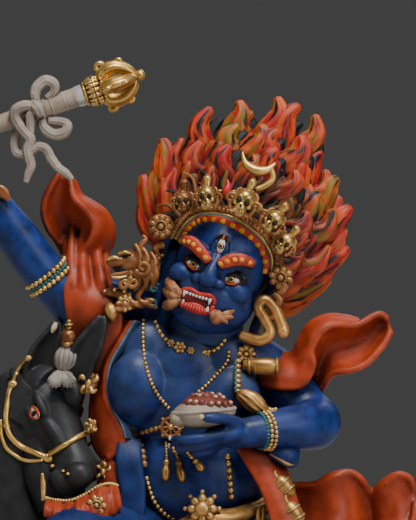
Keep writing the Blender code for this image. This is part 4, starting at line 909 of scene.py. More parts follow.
# %% Eyes
EYES = ((-5.2, 0.9, 1.9, 0.95, 10), (4.7, 0.1, 2.0, 1.0, -8))
THIRD_EYE = (-0.1, 7.1)
socket, white, iris, pupil, upper_lid, lower_lid = (Carving() for _ in range(6))
for x, z, wide, high, tilt in EYES:
    x, y, z = lay(face_surface, x, z, HEAD)
    socket.ball((x + 0.2, y + 0.3, z + 0.3), (wide * 1.65, 0.85, high * 2.1), turn=(0, tilt, 0), frame=HEAD)
    white.ball((x, y - 0.15, z), (wide, 0.7, high), turn=(0, tilt, 0), frame=HEAD)
    socket.ball((x - 0.1, y - 0.58, z), (1.05, 0.34, 1.0), frame=HEAD)
    iris.ball((x - 0.1, y - 0.72, z), (0.82, 0.32, 0.8), frame=HEAD)
    pupil.ball((x - 0.1, y - 0.88, z), (0.46, 0.26, 0.46), frame=HEAD)
    slope = math.tan(math.radians(-tilt))
    for carving, bulge, thick in ((upper_lid, 1.15, 0.42), (lower_lid, -1.2, 0.30)):
        carving.swept([(x - wide * 1.15, y, z - wide * slope, 0.2),
                       (x - wide * 0.5, y - 0.6, z + high * bulge * 0.85 - wide * 0.5 * slope, thick),
                       (x + wide * 0.5, y - 0.6, z + high * bulge * 0.85 + wide * 0.5 * slope, thick),
                       (x + wide * 1.15, y, z + wide * slope, 0.2)], frame=HEAD, around=8, along=16)
x, y, z = lay(face_surface, *THIRD_EYE, HEAD)
socket.ball((x, y + 0.25, z), (2.1, 0.75, 3.0), frame=HEAD)
white.ball((x, y - 0.15, z), (1.05, 0.6, 1.9), frame=HEAD)
socket.ball((x, y - 0.52, z), (0.85, 0.3, 0.9), frame=HEAD, around=14)
iris.ball((x, y - 0.64, z), (0.66, 0.27, 0.7), frame=HEAD, around=12)
pupil.ball((x, y - 0.78, z), (0.36, 0.2, 0.4), frame=HEAD, around=12)
for end in (-1, 1):
    lower_lid.swept([(x, y - 0.5, z + end * 1.5, 0.2), (x, y - 0.3, z + end * 2.0, 0.32),
                     (x, y, z + end * 2.6, 0.12)], frame=HEAD, around=8, along=10)
socket.piece("painted sockets", black_enamel)
white.piece("whites of the eyes", white_enamel)
iris.piece("irises", old_gold)
pupil.piece("pupils", black_enamel)
upper_lid.piece("upper lids", black_enamel)
lower_lid.piece("lower lids", brow_red)

# %% [markdown]
# The brows are thick red ropes with a row of orange dots, and the mouth is a red ring round a dark hollow,
# with a tongue, small teeth and four white fangs. A small figure, painted brown and orange, is gripped in it.

# %% Brows and mouth
brow, dots = Carving(), Carving()
for points in BROWS:
    rows = []
    for share in (0, 0.25, 0.5, 0.75, 1):
        x, _, z = along_curve([list(p) for p in points], share)
        x, y, z = lay(face_surface, x, z, HEAD, lift=0.1)
        rows.append((x, y, z, 0.65 + 0.95 * math.sin(math.pi * (0.15 + 0.75 * share)), 0.75))
    brow.swept(rows, frame=HEAD, around=14, along=22)
    for k in range(5):
        x, y, z = along_curve([list(row[:3]) for row in rows], (k + 0.6) / 5.3)
        dots.ball((x, y - 0.62, z), (0.78, 0.34, 0.6), frame=HEAD, around=12)
brow.piece("brows", brow_red)
dots.piece("dots on the brows", orange_dot)
UPPER_LIP = [(-6.3, -6.9), (-5.7, -5.6), (-4.0, -5.0), (-1.7, -5.4), (0.8, -5.0), (2.2, -5.8), (2.4, -6.9)]
LOWER_LIP = [(-6.3, -6.9), (-6.0, -8.4), (-4.2, -9.2), (-1.8, -9.6), (0.6, -9.3), (2.0, -8.3), (2.4, -6.9)]
lips, mouth, tongue, teeth = Carving(), Carving(), Carving(), Carving()
for lip, thick in ((UPPER_LIP, 0.6), (LOWER_LIP, 0.75)):
    rows = [(*lay(face_surface, x, z, HEAD, lift=0.25), thick if 0 < i < len(lip) - 1 else 0.45) for i,
            (x, z) in enumerate(lip)]
    lips.swept(rows, frame=HEAD, around=12, along=30)
x, y, z = lay(face_surface, -1.9, -7.2, HEAD)
mouth.ball((x, y + 0.35, z), (4.1, 0.9, 2.1), frame=HEAD, around=24)
tongue.ball((x + 0.2, y - 0.1, z - 1.3), (2.5, 0.7, 0.95), frame=HEAD)
for k in range(9):
    lean = -2.9 + 0.72 * k
    tongue.swept([(x + lean * 0.9, y - 0.4, z - 1.0, 0.3), (x + lean, y - 0.85, z - 1.9, 0.48),
                  (x + lean * 0.95, y - 0.9, z - 2.8 + 0.1 * abs(lean), 0.3)], frame=HEAD, around=10,
                 along=12)
for k in range(8):
    across = -4.6 + 0.83 * k
    teeth.ball((across, lay(face_surface, across, -5.9, HEAD)[1] - 0.5, -6.0), (0.37, 0.35, 0.42),
               frame=HEAD, around=10)
    if 0 < k < 7:
        teeth.ball((across, lay(face_surface, across, -8.5, HEAD)[1] - 0.45, -8.6), (0.35, 0.35, 0.35),
                   frame=HEAD, around=10)
for across, low, high in ((-5.2, -7.2, -5.6), (1.4, -7.2, -5.6), (-4.9, -8.9, -7.6), (1.4, -8.8, -7.5)):
    top = lay(face_surface, across, high, HEAD)[1] - 0.75
    point, root = (low, high) if high > -6 else (high, low)
    teeth.swept([(across, top, root, 0.45), (across, top - 0.2, (root + point) / 2, 0.36),
                 (across, top - 0.15, point, 0.08)], frame=HEAD, around=10, along=12)
lips.piece("lips", lip_red)
mouth.piece("inside of the mouth", hand_painted("mouth dark", (0.12, 0.006, 0.006), WASH_AND_SHADE_BLACK, (0.2, 0.02, 0.02),
                                                0.35))
tongue.piece("tongue", lip_red)
teeth.piece("teeth and fangs", white_enamel)
bitten = Carving()
for start, end, wide in (((-5.9, -7.0), (-10.9, -5.0), 1.3), ((-5.9, -7.4), (-11.0, -7.6), 1.2),
                         ((-5.8, -8.0), (-9.8, -11.4), 1.3)):
    x0, y0, z0 = lay(face_surface, *start, HEAD, lift=0.5)
    x1, y1, z1 = lay(face_surface, *end, HEAD, lift=0.9, default=-6)
    bitten.swept([(x0, y0, z0, 0.8), ((x0 + x1) / 2, min(y0, y1) - 0.3, (z0 + z1) / 2, wide, 0.9),
                  (x1, y1, z1, wide * 0.8, 0.7)], frame=HEAD, around=12, along=16, flutes=4)
x, y, z = lay(face_surface, 3.9, -9.6, HEAD, lift=0.9)
bitten.ball((x, y, z), (1.7, 1.5, 1.8), frame=HEAD)
bitten.swept([(1.4, y + 0.3, -8.0, 0.8), (2.6, y, -8.8, 1.1), (3.6, y, -9.4, 1.2)], frame=HEAD, around=12,
             along=12)
for tip in ((7.4, -7.0), (7.6, -8.6), (6.6, -10.4)):
    bitten.swept([(x + 0.6, y, z, 0.9), ((x + tip[0]) / 2 + 0.4, y + 0.5, (z + tip[1]) / 2 + 0.3, 0.8),
                  (tip[0], y + 1.8, tip[1], 0.25)], frame=HEAD, around=10, along=12, flutes=3)
bitten.piece("small figure in the mouth", hand_painted("burnt orange", (0.30, 0.09, 0.03),
                                                       (0.04, 0.010, 0.005), (0.75, 0.42, 0.20), 0.45,
                                                       hollow=0.9, mottle=0.5, mottle_scale=700,
                                                       rub_and_highlight_amount=0.7))

# %% [markdown]
# Over the forehead lies a red hairline band with orange dots, then thin lines of turquoise and gold. Five dry
# skulls stand on a coppery band, each with dark eye hollows, a row of teeth, small scrolls at its sides and a
# smooth finial like a thumb.

# %% Crown
HAIRLINE = [(-11.2, 4.2), (-10.4, 7.4), (-8.8, 10.2), (-6.2, 12.0), (-1.8, 12.9), (3.0, 12.2), (7.4, 10.2),
            (10.2, 7.0), (11.3, 3.0)]
band, band_dots, gold_band, teal_band, copper_work = (Carving() for _ in range(5))


def band_rows(points, lift, thick, deep, raise_by=0.0):
    """Rows for a band that lies on the forehead."""
    rows = []
    for x, z in points:
        reach = math.hypot(x, z - 2)
        x, z = x * (1 + raise_by / reach), 2 + (z - 2) * (1 + raise_by / reach)
        rows.append((*lay(face_surface, x, z, HEAD, lift=lift, default=-2), thick, deep))
    return rows


hair_rows = band_rows(HAIRLINE, 0.0, 1.15, 0.75, raise_by=-0.3)
band.swept(hair_rows, frame=HEAD, around=14, along=60)
for k in range(15):
    x, y, z = along_curve([list(row[:3]) for row in hair_rows], (k + 0.5) / 15)
    band_dots.ball((x, y - 0.66, z), (0.78, 0.35, 0.7), frame=HEAD, around=12)


def outside(rows, spread, back, thick):
    """The same band again, wider round the head and further back."""
    return [(row[0] * spread, row[1] + back, 2 + (row[2] - 2) * spread, thick) for row in rows]


teal_band.swept(outside(hair_rows, 1.10, 0.5, 0.4), frame=HEAD, around=10, along=60)
gold_band.swept(outside(hair_rows, 1.15, 0.9, 0.5), frame=HEAD, around=12, along=60)
copper_work.swept(outside(hair_rows, 1.24, 2.0, 1.5), frame=HEAD, around=16, along=90, flutes=5,
                  flute_depth=0.12, twist=90)
for k in range(44):
    x, y, z = along_curve([list(row[:3]) for row in outside(hair_rows, 1.25, 0.7, 0.5)], (k + 0.5) / 44)
    copper_work.ball((x, y, z), (0.5, 0.5, 0.62), frame=HEAD, around=10)
band.piece("hairline band", brow_red)
band_dots.piece("dots on the hairline band", orange_dot)
teal_band.piece("turquoise line of the crown", turquoise)

SKULLS = (
    ((-12.4, -7.5, 14.6), (-13.6, -6.5, 18.9), 0.92),
    ((-6.8, -10, 17.4), (-8.1, -9, 21.6), 1.0),
    ((2.2, -10.5, 18.9), (2.7, -9, 24.0), 1.2),
    ((10.0, -8.5, 16.4), (11.7, -7, 20.6), 1.02),
    ((13.9, -5.5, 11.9), (15.6, -4.5, 15.8), 0.92),
)
hollows = Carving()
for number, (at, finial, size) in enumerate(SKULLS):
    at, finial, size = Vector(at), Vector(finial), size * 1.08
    up = (finial - at).normalized()
    side = up.cross(Vector((0, 1, 0))).normalized()
    bone = copper_work if number == 0 else gold_band

    def on_skull(across, ahead, above):
        """A place on this skull, in its own half widths."""
        return at + (side * across + Vector((0, -ahead, 0)) + up * above) * size

    bone.ball(on_skull(0, 0, 0.6), (2.05 * size, 1.9 * size, 1.95 * size), frame=HEAD, around=20)
    bone.ball(on_skull(0, 0.5, -1.5), (1.2 * size, 1.35 * size, 1.7 * size), frame=HEAD, around=16)
    for out in (-1, 1):
        bone.ball(on_skull(out * 1.25, 0.9, -0.45), 0.6 * size, frame=HEAD, around=12)
        bone.swept([(*on_skull(out * 0.2, 1.75, 0.85), 0.22), (*on_skull(out * 0.9, 1.75, 1.1), 0.3),
                    (*on_skull(out * 1.5, 1.2, 0.8), 0.2)], frame=HEAD, around=8, along=10)
        hollows.ball(on_skull(out * 0.82, 1.62, 0.2), (0.58 * size, 0.4 * size, 0.62 * size), frame=HEAD,
                     around=12)
        copper_work.spiral(on_skull(out * 2.5, -0.3, -0.2), 1.0 * size, 0.42 * size, start=90 - out * 80,
                           turns=out * 1.3, frame=HEAD)
        copper_work.swept([(*on_skull(out * 1.7, -0.4, -2.2), 0.7), (*on_skull(out * 2.3, -0.4, -1.2), 0.6),
                           (*on_skull(out * 2.0, -0.5, 1.6), 0.5), (*on_skull(out * 1.2, -0.4, 2.2), 0.3)],
                          frame=HEAD, around=10, along=16)
    hollows.ball(on_skull(0, 1.85, -0.7), (0.28 * size, 0.25 * size, 0.4 * size), frame=HEAD, around=8)
    hollows.swept([(*on_skull(-0.8, 1.5, -1.55), 0.12), (*on_skull(0, 1.95, -1.6), 0.14),
                   (*on_skull(0.8, 1.5, -1.55), 0.12)], frame=HEAD, around=8, along=10)
    for tooth in range(5):
        bone.ball(on_skull(-0.76 + 0.38 * tooth, 1.75, -1.95), (0.19 * size, 0.22 * size, 0.42 * size),
                  frame=HEAD, around=8)
    copper_work.ball(on_skull(0, 0, 2.3), (1.3 * size, 1.2 * size, 0.5 * size), frame=HEAD, around=14)
    tip = finial + up * 1.0
    bone.swept([(*on_skull(0, 0, 2.2), 0.75), (*at.lerp(tip, 0.7), 0.9), (*at.lerp(tip, 0.86), 1.05),
                (*tip, 0.45)], frame=HEAD, around=16, along=20)
gold_band.piece("crown", bright_gold)
copper_work.piece("coppery part of the crown", copper_gold)
hollows.piece("hollows of the skulls", hand_painted("dark hollow", (0.03, 0.012, 0.006), WASH_AND_SHADE_BLACK,
                                                    (0.08, 0.03, 0.015), 0.6))

# %% [markdown]
# The hair stands up as a fan of flames. Each flame is a tube with sharp, slightly twisted grooves that
# leaves the head outwards and curls back towards the middle of the fan. Five rings of them overlap like
# feathers, and the tips of the outer one are set out one by one. The painter alternated orange, crimson and
# olive, and left the gaps almost black. Thin strands lie at the roots, just above the crown.

# %% Flames
HAIR_AXIS = 66  # the angle of the middle flame, above level
# The outer flames: the angle of each tip and how far it is from the middle of the fan
FLAME_TIPS = (
    (171, 22.2), (160, 25.5), (151.5, 28), (140, 26.4), (131, 30), (122, 27), (114, 28.4), (103, 31.6),
    (91, 32.6), (83.5, 30), (74.5, 34.9), (64, 35), (57, 34.8), (43, 28.8), (35, 26.5), (27, 28.2),
    (19, 26.4), (11, 28.8), (1, 26.4), (-10, 27.7), (-20, 25.4), (-29.5, 25.6), (-41, 24.5),
)
# The inner rings: flames, share of the outer reach, root, half width, depth at the root, and lift
RINGS = ((17, 0.84, 12, 2.9, -1.5, 0), (12, 0.66, 9, 2.7, -5, -1), (16, 0.88, 13, 3.1, 7, 1),
         (11, 0.66, 9, 3.0, 10.5, 0), (8, 0.46, 2, 3.2, 12, 0))


def flame(clay, angle, reach, root, width, depth_at, lift, wave):
    """One lock of flame that starts outwards and curls up towards the middle of the fan."""
    curl = 0.26 * (angle - HAIR_AXIS)
    steps = ((0, 1.0, 0.9), (0.3, 1.1, 1.15), (0.58, 0.8, 1.12), (0.82, 0.35, 0.88), (1.0, -0.1, 0.3))
    rows = []
    for share, bend, swell in steps:
        away = math.radians(angle + curl * bend + wave * math.sin(2 * math.pi * share))
        radius = root + (reach - root) * share
        rows.append((HAIR_AT.x + radius * math.cos(away), HAIR_AT.y + depth_at + lift * share,
                     HAIR_AT.z + radius * math.sin(away), swell * width, swell * width * 0.8))
    clay.swept(rows, around=24, along=24, flutes=6, flute_depth=0.13, twist=2.5 * math.copysign(1, wave))


def flame_reach(angle):
    """How far the fan of flames reaches at an angle, read between the outer tips."""
    for (left, far), (right, near) in zip(FLAME_TIPS, FLAME_TIPS[1:]):
        if left >= angle >= right:
            return far + (near - far) * (left - angle) / (left - right)
    return FLAME_TIPS[0][1] if angle > FLAME_TIPS[0][0] else FLAME_TIPS[-1][1]


COLOURS = ("orange", "crimson", "orange", "olive", "orange", "crimson")
flames = {"orange": Carving(), "crimson": Carving(), "olive": Carving(), "smoke": Carving()}
for i, (angle, reach) in enumerate(FLAME_TIPS):
    wave = (5, -4)[i % 2]
    flame(flames[COLOURS[i * 5 % 6]], angle, reach, 13, 2.7, 2.5, 1, wave)
    flame(flames["smoke"], angle - 4.5, reach * 0.9, 13, 2.2, 3.4, 1, wave)
for ring, (count, share, root, width, depth_at, lift) in enumerate(RINGS):
    for i in range(count):
        angle = 152 - 184 * (i + 0.5) / (count - 0.5)
        reach = share * flame_reach(angle) * (1, 0.92, 0.97)[i % 3]
        wave = (5, -4)[i % 2]
        flame(flames[COLOURS[(i * 5 + ring * 2 + 2) % 6]], angle, reach, root, width, depth_at, lift, wave)
        flame(flames["smoke"], angle - 92 / count, reach * 0.93, root, width * 0.8, depth_at + 0.9, lift,
              wave)
for k in range(8):
    flame(flames["crimson" if k % 2 else "orange"], 184 + 20 * k, 13.5, 2, 3.0, 11.5, -1.5, 4)
for k in range(30):
    angle, dark = math.radians(158 - 172 * k / 29), k % 5
    out = 1 + 0.12 * math.sin(k * 2.4)
    rows = [(HAIR_AT.x - 2.5 + reach * out * math.cos(angle + sway), -7.4 + 0.25 * reach,
             HAIR_AT.z - 2 + reach * out * math.sin(angle + sway), thick) for reach, sway,
            thick in ((8.5, 0, 0.8), (12, 0.05, 0.8), (15.5, -0.03, 0.55), (18, 0.04, 0.15))]
    flames["smoke" if dark in (0, 3) else "olive" if dark == 1 else "crimson"].swept(rows, around=10,
        along=18, flutes=3)
flames["smoke"].ball((HAIR_AT.x + 2, HAIR_AT.y + 3, HAIR_AT.z + 3), (17, 7, 15), around=32)
for name, paint in (("orange", orange_flame), ("crimson", crimson_flame), ("olive", olive_flame),
                    ("smoke", dark_flame)):
    flames[name].piece(name + " flames", paint)

# %% [markdown]
# A gold moon stands in the hair above the crown. Beside the ears sit two rosettes, a small lion hangs from
# her right ear and a snake from her left.

# %% Moon, rosettes, lion and snake
moon = Carving()
moon.swept([(15.9, -8, 103.0, 0.2), (16.8, -8.6, 100.0, 0.9), (19.2, -8.8, 98.3, 1.25),
            (22.0, -8.6, 98.5, 0.9), (24.3, -8, 100.3, 0.2)], around=14, along=26)
moon.swept([(22.6, -8.2, 99.4, 0.8), (23.4, -8, 96.5, 0.8), (21.6, -8.5, 94.6, 0.8), (19.0, -9, 93.6, 0.6)],
           around=12, along=20)
for x, z, size, way in ((19.6, 89.4, 1.3, 1.3), (21.0, 87.8, 1.0, -1.3), (10.6, 92.4, 1.1, -1.3),
                        (13.8, 92.6, 1.0, 1.3)):
    moon.spiral((x, -10.4, z), size, 0.42, start=200, turns=way)
moon.piece("moon in the hair", bright_gold)
jewel = Carving()
jewel.swept([(12.2, -11.2, 91.4, 0.5), (12.0, -11.4, 93.0, 1.2), (12.5, -11.2, 94.6, 0.8),
             (12.2, -11, 96.2, 0.15)], around=14, along=16)
jewel.piece("jewel over the crown", lip_red)


def rosette(clay, centre, size, frame=Matrix(), petals=8):
    """A round flower: a ring of petals, a rim and a raised middle."""
    x, y, z = centre
    for k in range(petals):
        turn = 2 * math.pi * k / petals
        clay.ball((x + 0.68 * size * math.cos(turn), y, z + 0.68 * size * math.sin(turn)),
                  (0.36 * size, 0.3 * size, 0.30 * size), turn=(0, -math.degrees(turn), 0), frame=frame,
                  around=10)
    rim = [(x + 0.45 * size * math.cos(2 * math.pi * k / 12), y - 0.22 * size,
            z + 0.45 * size * math.sin(2 * math.pi * k / 12), 0.09 * size) for k in range(13)]
    clay.swept(rim, frame=frame, facing=(0, 1, 0), around=8, along=36)
    clay.ball((x, y - 0.18 * size, z), (0.3 * size, 0.32 * size, 0.3 * size), frame=frame, around=12)
    clay.ball((x, y + 0.15 * size, z), (0.85 * size, 0.3 * size, 0.85 * size), frame=frame, around=18)


ear_work = Carving()
rosette(ear_work, (15.2, -3.6, 3.4), 3.0, HEAD)
for side, x in ((-1, -15.4), (1, 15.6)):
    for k in range(3):
        z = 1.4 - 3.4 * k
        ear_work.swept([(x - side * 1, -3, z + 1.4, 0.9), (x + side * 0.9, -3.4, z, 1.0),
                        (x - side * 0.2, -3.2, z - 1.8, 0.8), (x - side * 1.4, -2.8, z - 1.0, 0.4)],
                       frame=HEAD, around=10, along=16)
ear_work.piece("rosettes and drops at the ears", copper_gold)
lion, lion_highlights, lion_dark = Carving(), Carving(), Carving()
lion.ball((-11.6, -8.2, 76.2), (3.3, 2.7, 2.9))
lion.ball((-9.0, -7, 73.6), (3.8, 2.3, 5.0))
rosette(lion, (-3.9, -8.0, 84.6), 3.0, petals=9)
lion.ball((-3.9, -7.4, 84.6), (3.2, 0.8, 3.2))
for k in range(6):
    x, sway = -9.8 + 0.95 * k, 0.7 * (-1) ** k
    lion.swept([(x - 0.6, -8.0, 80.6 - 0.5 * k, 0.5), (x + sway, -8.9, 77.6 - 0.4 * k, 0.85),
                (x - 0.4 - sway * 0.4, -9.2, 74.6 - 0.3 * k, 0.9), (x + sway * 0.6, -8.9, 71.4, 0.8),
                (x - 0.6, -8.2, 68.8, 0.3)], around=14, along=24, flutes=2)
lion.swept([(-12, -8.8, 76.4, 1.9), (-14.4, -9.8, 76.2, 1.4), (-16.2, -9.8, 75.8, 1.15, 0.9),
            (-16.9, -9.6, 75.4, 0.5)], along=18)
lion.swept([(-11, -8.4, 73.6, 1.6), (-13.4, -9.2, 73.0, 1.1), (-15.6, -9.4, 72.8, 0.8),
            (-16.2, -9.3, 73.2, 0.4)], along=18)
lion_dark.ball((-13.6, -9.2, 74.4), (2.0, 1.2, 0.9), turn=(0, 6, 0))
lion_dark.ball((-12.6, -10.6, 77.2), (0.6, 0.4, 0.45), around=12)
for x, z, size in ((-8.2, 74.6, 1.9), (-10.6, 71.0, 1.4), (-12.8, 70.4, 1.2)):
    lion.spiral((x, -9.6, z), size, 0.72, start=160 + 40 * x, turns=1.3)
    lion.ball((x, -8.0, z), (size, 1.1, size))
for k in range(4):
    lion_dark.ball((-14.9 + 0.7 * k, -10.2, 75.1), (0.2, 0.2, 0.3), around=8)
lion.swept([(-9.4, -7.6, 78.4, 0.9), (-8.6, -7.6, 80.2, 0.85), (-7.6, -7.4, 81.6, 0.7),
            (-8.4, -7.4, 82.6, 0.3)], along=16)
lion.swept([(-5.3, -7, 77.9, 0.6), (-4.9, -7.6, 74.1, 0.75), (-7.3, -8.4, 70.9, 0.75),
            (-9.4, -8.6, 67.5, 0.7), (-7.7, -8.6, 66, 0.65), (-4.6, -8.4, 64.8, 0.5)], along=40, flutes=3)
lion.swept([(-18.8, -7.6, 60.4, 0.6), (-15.8, -8.4, 63.4, 1.1), (-12.6, -8.4, 65.6, 1.2),
            (-8.9, -8.4, 65.9, 1.1), (-5.5, -8.2, 66.6, 0.8)], around=16, along=50, flutes=3,
           flute_depth=0.16, twist=40)
lion.swept([(-18.8, -6.6, 68.2, 0.7), (-16.6, -7.2, 68.6, 1.1, 0.9), (-13.6, -8, 68.2, 1.2, 0.9),
            (-11, -8.2, 67.8, 0.8)], along=20, flutes=6, twist=14)
# Painted highlights: bright gold strokes and dots where light catches the coppery lion.
lion_highlights.swept([(-14.4, -10.8, 78.0, 0.3), (-12.6, -11.2, 78.4, 0.45), (-10.8, -10.6, 78.0, 0.3)],
                around=8, along=14)
lion_highlights.swept([(-16.9, -10.4, 76.6, 0.45), (-15.4, -11.0, 77.1, 0.5), (-13.8, -11.1, 76.8, 0.3)],
                around=8, along=14)
lion_highlights.swept([(-16.0, -10.2, 72.4, 0.25), (-14.0, -10.3, 72.2, 0.35), (-12.0, -10, 72.6, 0.25)],
                around=8, along=14)
for place in ((-17.6, -8.2, 68.9), (-15.2, -9, 69.2), (-12.8, -9.4, 68.9)):
    lion_highlights.ball(place, 0.45, around=10)
lion.piece("lion at the ear", copper_gold)
lion_dark.piece("dark of the lion mouth", black_enamel)
lion_highlights.piece("painted highlights on the lion", bright_gold)
snake = Carving()
snake.swept([(15.2, -9.4, 58.4, 1.2), (20, -11.2, 57.0, 1.35), (22.6, -11, 58.8, 1.35),
             (21.4, -10.4, 62.0, 1.35), (19.8, -10, 65.0, 1.3), (21.4, -9.8, 66.8, 1.3),
             (23.8, -10, 64.8, 1.35), (25.0, -10.4, 61.8, 1.4), (25.9, -10.6, 59.6, 1.5),
             (26.3, -10.8, 58.2, 0.7)], around=16, along=70)
snake.ball((25.9, -11.0, 59.2), (1.5, 1.3, 1.7), around=14)
snake.piece("snake earring", snake_gold)

# %% [markdown]
# The scarves are cast cloth: each is a ribbon between two edge curves, with a hollow middle and rolled
# hems. They are fused and softened so the hems melt into the cloth, as they do in the casting. A stiffly
# folded robe hangs down the back, and a lapel shows beside the breast.

# %% Scarves and robe
scarves = Carving()
fold = [(-26.2, -1, 97), (-25.2, -3, 91.8), (-22.3, -3.5, 88.7), (-20.2, -3, 85), (-21.2, -2, 81),
        (-24.5, 0.5, 76.5), (-25.5, 3.5, 67), (-22, 4, 58)]
scarves.cloth(
    [(-29, 1, 98), (-32.1, 0, 92.3), (-32.8, 0.5, 88), (-31.6, 2, 84), (-29.3, 4, 80.5), (-27.4, 6, 76),
     (-26.8, 8, 67), (-25.5, 8, 58)],
    fold, hollow=0.42,
)
scarves.cloth(
    [(-25.6, 0, 96.4), (-23.8, -0.5, 92.3), (-20.6, 0.5, 90.3), (-17.7, 1, 88), (-16, 2, 84.4),
     (-16.2, 3, 80.4), (-18.2, 4, 76.5), (-17.2, 5, 68), (-14, 5, 58)],
    fold, hollow=-0.2,
)
scarves.cloth(
    [(-24, 8, 66), (-30, 9, 60), (-32, 9, 50), (-37, 10, 40), (-36, 10, 28)],
    [(-14, 9, 58), (-20, 10, 52), (-24, 11, 42), (-26, 12, 32), (-30, 12, 20)],
    hollow=0.2, ripples=1.5, ripple=1,
)
scarves.swept([(-27.6, 3, 71.8, 1.0), (-25, 1.2, 69.8, 1.5), (-22.1, 0.8, 69.1, 1.5),
               (-19.4, 1.6, 67.2, 1.2), (-17, 3, 64, 0.8)])
scarves.swept([(-27.4, 4.5, 74.6, 0.9), (-26.6, 2.4, 70, 1.3), (-26.2, 1.5, 64, 1.5), (-25.4, 2, 58, 1.2)])
scarves.cloth(
    [(19.8, 2, 53), (25, 0, 53), (28.5, -1, 53.6), (30.3, -2, 57), (32.7, -2, 60.7), (36.6, -1.5, 62.6),
     (41.2, -0.5, 62.4), (45, 0, 61.4)],
    [(19.8, -4, 46.5), (25, -6, 45.5), (30.5, -6, 46), (33.2, -6, 50.7), (32.9, -5.5, 54.6), (35.4, -5, 59),
     (38.8, -4, 60.6), (43.9, -2.5, 60.3)],
    hollow=-0.2,
)
scarves.cloth(
    [(33.2, -5.8, 50.7), (32.9, -5.5, 54.6), (35.4, -5, 59.2), (38.8, -4, 60.7), (44, -2.5, 60.6),
     (49.3, -1, 63.2), (52, -0.5, 61.8)],
    [(34.4, 2, 42.6), (36.2, -1, 46), (38.3, -3, 48.8), (42, -4.5, 49.4), (46.3, -4, 51.2),
     (50.5, -2.5, 55.6), (52.6, -1, 59.5)],
    hollow=0.45,
)
scarves.cloth(
    [(20, 3, 20), (29, -1, 21.3), (34, -3, 21.7), (38, -4, 23.9), (42, -4, 24.6), (45, -3, 23),
     (47.6, 0, 19.4), (50.5, -2, 22), (54, -3, 24), (57, -2, 23), (58, 0, 20)],
    [(21, -3, 6), (30, -7, 5), (35, -9, 4), (40, -9.5, 6), (44, -8, 5), (47, -5, 3), (49.5, -2, 1),
     (52, -4, 2), (55, -6, 7), (57.6, -4, 12), (58.6, -2, 17)],
    hollow=0.16, ripples=2.5, ripple=1.2, along=90, across=20,
)
scarves.cloth(
    [(14, -13, 33), (17, -14.5, 28), (21, -16, 21), (23.5, -18, 13), (24, -21, 2), (22, -26, -10)],
    [(22, -9, 33), (25, -11, 28), (28, -14, 20), (30, -18, 12), (31, -22, 2), (29, -28, -12)],
    hollow=-0.15,
)
scarves.cloth(
    [(-27.8, 6, 83), (-27.4, 1, 78), (-27.2, -3.5, 73), (-26.8, -6.6, 67), (-25.6, -5.4, 61),
     (-22.4, -4.6, 54), (-21.4, -4, 46)],
    [(-18.4, 6, 83), (-17.6, 2, 78), (-17, -2, 72), (-15.6, -6, 67), (-14, -6.6, 62), (-15.4, -5.6, 54),
     (-18.4, -4, 46)],
    hollow=-0.12,
)
for top, middle, low in (((-25.6, 3.4, 86), (-25.4, -5.2, 70), (-23.6, -5.2, 58)),
                         ((-22.8, 3.0, 88), (-22.6, -6.0, 70), (-20.6, -5.6, 58)),
                         ((-19.2, 3.4, 86), (-18.2, -5.6, 70), (-17.6, -5.8, 58))):
    scarves.swept([(*top, 0.6), (top[0] - 0.4, -0.4, 78, 1.3), (*middle, 1.5), (*low, 1.3),
                   (low[0] + 1.4, low[1] + 1, low[2] - 10, 1.0)], along=30)
scarves.piece("red scarves", red_cloth, voxel=0.42, soften=5)
lapel, hem, collar = Carving(), Carving(), Carving()
LAPEL_EDGE = [(-10.6, -6.5, 62), (-14, -7.5, 56.2), (-16.6, -7.5, 51.4), (-17.4, -7.5, 46.3),
              (-16.7, -8, 41.5), (-13.7, -9.5, 36.1), (-13, -10, 33.3), (-14.3, -9.5, 29.9),
              (-17.1, -8.5, 28.1)]
lapel.cloth(LAPEL_EDGE, [(-14, -3, 62), (-17.1, -3, 55.6), (-19.2, -3, 50.4), (-20.5, -3, 42.9),
                         (-20.8, -4, 36.1), (-19.7, -5.5, 31), (-17.6, -7, 28.1)], hollow=-0.1)
lapel.cloth([(-16.6, -8, 27.4), (-14, -10, 25.6), (-12.8, -11.5, 22), (-12.2, -12, 17.6), (-12.5, -12, 9)],
            [(-18, -7, 27.4), (-18.6, -8, 24), (-18.4, -9.5, 20), (-17.5, -11, 16), (-17.5, -11.5, 8)],
            hollow=-0.15)
lapel.piece("lapel", red_cloth, voxel=0.36, soften=4)
hem.cloth([(x + 0.5, y - 0.9, z) for x, y, z in LAPEL_EDGE[:7]],
          [(x + 1.7, y + 0.3, z - 0.2) for x, y, z in LAPEL_EDGE[:7]], hollow=-0.12, thickness=0.8, hem=0.35)
hem.piece("grey hem of the jacket", grey_hem)
collar.cloth([(-20, 1, 72), (-13, 0.5, 70.5), (-6, 0.5, 69), (-1, 0.5, 67)],
             [(-17, 0, 58), (-12, 0, 58), (-6, 0, 58), (0, 0, 58)], thickness=3)
for k in range(5):
    x = -13.4 + 1.05 * k
    collar.swept([(x, -8.6, 35 - 0.6 * k, 0.7), (x - 0.3, -11.4, 28, 1.1), (x + 0.5, -12.2, 21, 1.2),
                  (x + 0.2, -12.4, 13, 1.2)], around=14, along=24, flutes=2)
collar.piece("jacket", blue_cloth, voxel=0.4, soften=3)
robe = Carving()
robe.swept([(3, 8, 60, 14, 5), (2.5, 9, 46, 20, 6), (3, 9, 25, 20, 7), (3, 10, 8, 23, 8),
            (3, 10, 2, 20, 6)], around=40, along=30)
for at in (-16, -10, -3, 4, 11, 18):
    robe.swept([(at * 0.5 + 1, 12, 58, 1.5), (at * 0.9, 14.6, 44, 1.9), (at * 0.9, 15.4, 26, 2.1),
                (at * 1.15, 17, 3, 2.6)], along=24)
robe.piece("robe", red_cloth, voxel=0.6, soften=4)

# %% [markdown]
# Below the belt the casting is out of the picture, so the skirt, apron and leggings are kept plain: broad
# thighs across the saddle, soft vertical folds and a gold hem.

